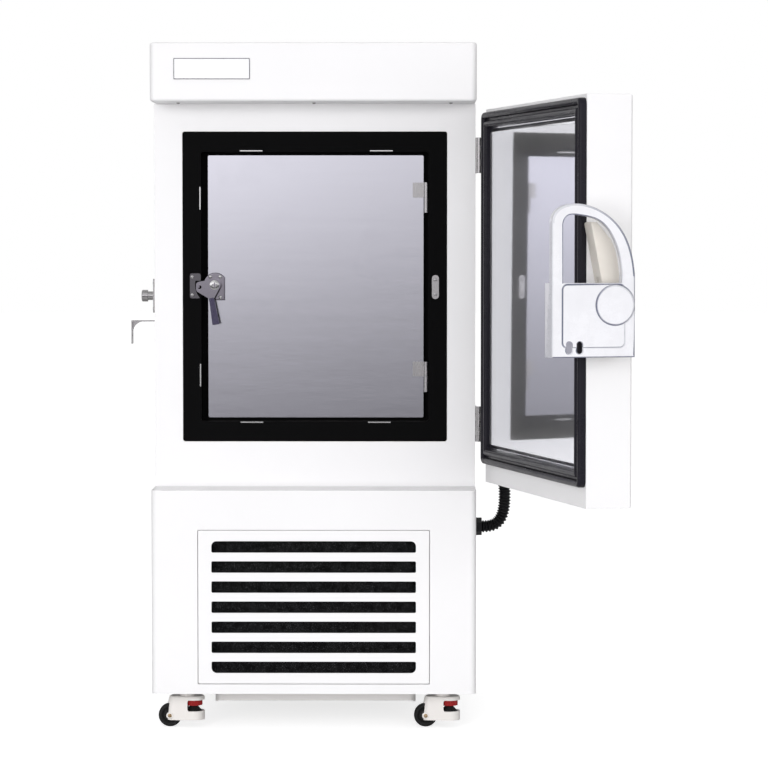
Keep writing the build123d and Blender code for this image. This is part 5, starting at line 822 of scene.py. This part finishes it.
class FREEZER_OT_header_fittings(bpy.types.Operator):
    """Bare plate with its grey border, which is painted shade along the plate's edge, on the header's face, and
    the three screws in the header's underside
    """

    bl_idname = "freezer.header_fittings"
    bl_label = "Header fittings"

    def execute(self, context):
        sizes = context.scene.freezer_sizes
        left, low = BADGE_CORNER
        right, high = left + sizes.badge_width, low + sizes.badge_height
        thick, border = sizes.badge_thickness, sizes.badge_border
        # Painted shade: this grey ring stands in for the shade along the plate's edge
        trim = plate((left, FRONT - thick, low), (right, FRONT, high), thick * 0.3, thick * 1.5)
        select_faces(trim, lambda middle, normal: normal.y < -0.98)
        bpy.ops.mesh.inset(thickness=border, depth=0.0)
        bpy.ops.mesh.inset(thickness=thick * 0.2, depth=-thick * 0.4)
        bpy.ops.object.mode_set(mode="OBJECT")
        settled(trim, "badge_border", "badge_trim", "cabinet")
        border += thick * 0.25
        badge = plate((left + border, FRONT - thick * 0.9, low + border),
                      (right - border, FRONT - thick * 0.5, high - border), thick * 0.12, thick)
        settled(badge, "badge_plate", "badge_bare", "cabinet")
        places = [(x, HEADER_SCREW_ROW, HEADER_UNDERSIDE) for x in HEADER_SCREWS]
        heads = screws(places, (0, 0, -1), sizes.screw_radius, sizes.screw_radius * 0.6)
        settled(heads, "header_screws", "zinc", "cabinet")
        return {"FINISHED"}


class FREEZER_OT_throat(bpy.types.Operator):
    """Black frame round the chamber, with its bright clips and the slim plate on its right border"""

    bl_idname = "freezer.throat"
    bl_label = "Throat frame"

    def execute(self, context):
        sizes = context.scene.freezer_sizes
        welded("throat_frame", "frame_black", sizes.sheet_edge)
        half, wide = sizes.clip_length / 2, sizes.clip_width
        clips = []
        for middle, level in CLIPS_ACROSS:
            clips.append(plate((middle - half, WALL - wide * 0.35, level - wide / 2),
                               (middle + half, WALL + wide * 0.2, level + wide / 2), wide * 0.1))
        for level in CLIPS_UPRIGHT:
            clips.append(plate((CLIP_COLUMN - wide / 2, WALL - wide * 0.35, level - half),
                               (CLIP_COLUMN + wide / 2, WALL + wide * 0.2, level + half), wide * 0.1))
        settled(merged(clips), "frame_clips", "clip_bright", "cabinet")
        wide, tall, thick = sizes.catch_width, sizes.catch_height, CATCH_THICKNESS
        across, level = CATCH_AT
        catch = plate((across - wide / 2, WALL - thick, level - tall / 2),
                      (across + wide / 2, WALL, level + tall / 2), thick * 0.18, wide * 0.48)
        places = [(across, WALL - thick, level + side * tall * 0.3) for side in (-1, 1)]
        heads = screws(places, (0, -1, 0), sizes.screw_radius, sizes.screw_radius * 0.4)
        settled(merged([catch, heads]), "catch_plate", "zinc", "cabinet")
        return {"FINISHED"}


class FREEZER_OT_chamber(bpy.types.Operator):
    """Stainless chamber with its shelves, rails and refrigerated rings"""

    bl_idname = "freezer.chamber"
    bl_label = "Chamber"

    def execute(self, context):
        sizes = context.scene.freezer_sizes
        welded("inner_tank", "stainless_liner")
        welded("shelves", "stainless_liner", sizes.sheet_edge / 2)
        welded("shelf_supports", "stainless_liner")
        welded("evaporator_coil", "copper")
        return {"FINISHED"}


class FREEZER_OT_inner_door(bpy.types.Operator):
    """Brushed inner door with its seal and lift-off hinges"""

    bl_idname = "freezer.inner_door"
    bl_label = "Inner door"

    def execute(self, context):
        sizes = context.scene.freezer_sizes
        welded("inner_door_panel", "stainless_door", sizes.sheet_edge / 2)
        welded("inner_door_seal", "silicone_grey")
        welded("inner_door_hinges", "hinge_steel", sizes.casting_edge / 2)
        welded("inner_hinge_leaves", "hinge_steel", sizes.casting_edge / 2)
        return {"FINISHED"}


class FREEZER_OT_inner_latch(bpy.types.Operator):
    """Latch of the inner door: base, turning lever with its grip, and the keeper on the frame"""

    bl_idname = "freezer.inner_latch"
    bl_label = "Inner latch"

    def execute(self, context):
        sizes = context.scene.freezer_sizes
        welded("latch_base", "latch_metal", sizes.casting_edge * 1.6, 3)
        welded("latch_lever", "latch_metal", sizes.casting_edge * 1.6, 3)
        welded("latch_keeper", "latch_dark", sizes.casting_edge)
        welded("latch_grip", "grip_black", sizes.casting_edge)
        across, level = LATCH_PIVOT
        lever_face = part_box("latch_lever")[0].y
        places = [(across, lever_face + PIVOT_CAP_SUNK, level)]
        cap = screws(places, (0, -1, 0), sizes.pivot_radius, PIVOT_CAP_HEIGHT)
        settled(cap, "latch_pivot_cap", "clip_bright", body_under("latch_lever"))
        base_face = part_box("inner_door_panel")[0].y - LATCH_PLATE
        places = [(across + side * LATCH_SCREW_ASIDE, base_face, level + rise)
                  for side in (-1, 1) for rise in LATCH_SCREW_RISES]
        heads = screws(places, (0, -1, 0), sizes.screw_radius, sizes.screw_radius * 0.6)
        settled(heads, "latch_base_screws", "clip_bright", body_under("latch_base"))
        places = [(KEEPER_SCREW_COLUMN, WALL - KEEPER_PLATE, level) for level in KEEPER_SCREWS]
        heads = screws(places, (0, -1, 0), sizes.screw_radius, sizes.screw_radius * 0.5)
        settled(heads, "keeper_screws", "zinc", body_under("latch_keeper"))
        return {"FINISHED"}


class FREEZER_OT_outer_door(bpy.types.Operator):
    """Outer door: coated shell, stainless liner pan, magnetic gasket and hinges"""

    bl_idname = "freezer.outer_door"
    bl_label = "Outer door"

    def execute(self, context):
        sizes = context.scene.freezer_sizes
        welded("door_shell", "door_white", sizes.sheet_edge)
        welded("door_foam", "insulation")
        welded("door_liner", "stainless_pan", sizes.sheet_edge / 2)
        welded("door_gasket", "gasket_charcoal", sizes.sheet_edge)
        welded("door_hinge_leaves", "hinge_steel", sizes.casting_edge)
        welded("outer_hinges", "hinge_steel", sizes.casting_edge)
        return {"FINISHED"}


class FREEZER_OT_controls(bpy.types.Operator):
    """Control panel on the outer door's face: bezel, bare display glass and six blank keys"""

    bl_idname = "freezer.controls"
    bl_label = "Control panel"

    def execute(self, context):
        sizes = context.scene.freezer_sizes
        welded("control_panel", "panel_dark", sizes.sheet_edge / 2)
        face = PANEL_FACE
        glass = plate((face - 0.0012, *DISPLAY_LOW), (face - 0.0004, *DISPLAY_HIGH), 0.0002)
        glass.data.transform(DOOR)
        settled(glass, "display_glass", "display_glass", body_under("control_panel"))
        keys = []
        half_wide, half_tall = KEY_HALF
        for away in KEY_COLUMNS:
            for level in KEY_ROWS:
                keys.append(plate((face - 0.0002, away - half_wide, level - half_tall),
                                  (face + 0.0012, away + half_wide, level + half_tall), 0.0004, 0.0040))
        keypad = merged(keys)
        keypad.data.transform(DOOR)
        settled(keypad, "control_keys", "key_grey", body_under("control_panel"))
        return {"FINISHED"}


class FREEZER_OT_handle(bpy.types.Operator):
    """Moulded lever with its inset cover, pedestal and the hook that it turns"""

    bl_idname = "freezer.handle"
    bl_label = "Door handle"

    def execute(self, context):
        sizes = context.scene.freezer_sizes
        welded("handle_lever", "handle_white", sizes.casting_edge, shaped=lever_front)
        welded("handle_cover", "handle_white", sizes.casting_edge / 2, shaped=cover_front)
        welded("handle_base", "handle_beige", sizes.casting_edge * 6, 5, limit=20.0)
        welded("latch_hook", "zinc", sizes.casting_edge)
        return {"FINISHED"}


class FREEZER_OT_strike(bpy.types.Operator):
    """Knob that the hook catches and the bent bracket for a padlock"""

    bl_idname = "freezer.strike"
    bl_label = "Strike and bracket"

    def execute(self, context):
        sizes = context.scene.freezer_sizes
        welded("door_strike", "zinc", sizes.casting_edge)
        welded("lock_bracket", "zinc", sizes.casting_edge / 2)
        return {"FINISHED"}


class FREEZER_OT_grille(bpy.types.Operator):
    """Slotted front panel and the filter mesh behind it"""

    bl_idname = "freezer.grille"
    bl_label = "Grille"

    def execute(self, context):
        sizes = context.scene.freezer_sizes
        welded("grille_panel", "grille_white", sizes.sheet_edge / 2)
        welded("air_filter", "filter_mesh")
        return {"FINISHED"}


class FREEZER_OT_machine_bay(bpy.types.Operator):
    """Cooling machinery inside the lower housing, and the screws of the cover behind it"""

    bl_idname = "freezer.machine_bay"
    bl_label = "Machine bay"

    def execute(self, context):
        sizes = context.scene.freezer_sizes
        for cad, look in (
            ("condenser_coil", "aluminium_fins"), ("fan_shroud", "galvanised"), ("fan_motor", "motor_grey"),
            ("fan_blades", "inlet_black"), ("base_pan", "pan_beige"),
            ("compressor_high_stage", "compressor_black"), ("compressor_low_stage", "compressor_black"),
            ("cascade_exchanger", "foam_sleeve"), ("refrigerant_tubes", "copper"),
            ("control_box", "galvanised"), ("power_inlet", "inlet_black"),
        ):
            welded(cad, look)
        places = [(x, BACK - sizes.screw_radius * 0.45, z)
                  for x in REAR_SCREW_COLUMNS for z in REAR_SCREW_ROWS]
        heads = screws(places, (0, 1, 0), sizes.screw_radius, sizes.screw_radius * 0.4)
        settled(heads, "rear_cover_screws", "zinc", body_under("rear_cover"))
        return {"FINISHED"}


class FREEZER_OT_casters(bpy.types.Operator):
    """Four casters with their plates, wheels, axle heads, thumbwheels and levelling feet"""

    bl_idname = "freezer.casters"
    bl_label = "Casters"

    def execute(self, context):
        sizes = context.scene.freezer_sizes
        welded("caster_plates", "zinc", sizes.casting_edge)
        for end in ("front", "rear"):
            for side in ("left", "right"):
                name = f"caster_{end}_{side}"
                low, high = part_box(name + "_wheel")
                hub = (low + high) / 2
                welded(name + "_housing", "caster_ivory", sizes.casting_edge,
                       shaped=lambda piece: self.housing_form(piece, hub, end == "front"))
                welded(name + "_wheel", "tyre_black", sizes.casting_edge / 2)
                if end == "front":
                    welded(name + "_thumbwheel", "thumbwheel_red", sizes.casting_edge / 4)
                    welded(name + "_pad", "pad_black", sizes.casting_edge)
                head = screws([(hub.x, hub.y - AXLE_HEAD_OUT, hub.z)], (0, -1, 0), sizes.axle_head,
                              AXLE_HEAD_HEIGHT, cross=False)
                settled(head, name + "_axle_head", "axle_brass", body_under(name + "_housing"))
        return {"FINISHED"}

    def housing_form(self, piece, hub, levelling):
        """Slopes the housing's back above its axle, and opens the thumbwheel's window to the side."""
        for corner in piece.data.vertices:
            behind = min(1.0, max(0.0, (hub.x + HOUSING_BACK - corner.co.x) / HOUSING_BACK_RUN))
            corner.co.x += behind * max(0.0, corner.co.z - hub.z - HOUSING_SLOPE_FOOT) * HOUSING_SLOPE
        if levelling:
            cutter = plate((hub.x + WINDOW_LEFT, hub.y - WINDOW_HALF_DEPTH, WINDOW_LOW),
                           (hub.x + WINDOW_RIGHT, hub.y + WINDOW_HALF_DEPTH, WINDOW_HIGH),
                           WINDOW_ROUND, segments=5)
            modified(piece, "BOOLEAN", operation="DIFFERENCE", object=cutter, solver="EXACT")
            bpy.data.objects.remove(cutter)


OPERATORS = (
    FREEZER_OT_stage, FREEZER_OT_hose, FREEZER_OT_housings, FREEZER_OT_header_fittings,
    FREEZER_OT_throat, FREEZER_OT_chamber, FREEZER_OT_inner_door, FREEZER_OT_inner_latch,
    FREEZER_OT_outer_door, FREEZER_OT_controls, FREEZER_OT_handle, FREEZER_OT_strike,
    FREEZER_OT_grille, FREEZER_OT_machine_bay, FREEZER_OT_casters,
)


class FREEZER_PT_panel(bpy.types.Panel):
    """Lists the freezer's pieces and settings"""

    bl_label = "Freezer"
    bl_idname = "FREEZER_PT_panel"
    bl_space_type = "VIEW_3D"
    bl_region_type = "UI"
    bl_category = "Freezer"

    def draw(self, context):
        for group in (context.scene.freezer_sizes, context.scene.freezer_finishes):
            box = self.layout.box()
            for key in group.__annotations__:
                box.prop(group, key)
        for operator in OPERATORS:
            self.layout.operator(operator.bl_idname)


CLASSES = (FreezerSizes, FreezerFinishes) + OPERATORS + (FREEZER_PT_panel,)


def register():
    for item in CLASSES:
        bpy.utils.register_class(item)
    bpy.types.Scene.freezer_sizes = bpy.props.PointerProperty(type=FreezerSizes)
    bpy.types.Scene.freezer_finishes = bpy.props.PointerProperty(type=FreezerFinishes)


def unregister():
    del bpy.types.Scene.freezer_finishes
    del bpy.types.Scene.freezer_sizes
    for item in reversed(CLASSES):
        bpy.utils.unregister_class(item)


def main():
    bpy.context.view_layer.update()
    register()
    for operator in OPERATORS:
        group, name = operator.bl_idname.split(".")
        getattr(getattr(bpy.ops, group), name)()


if __name__ == "__main__":
    main()
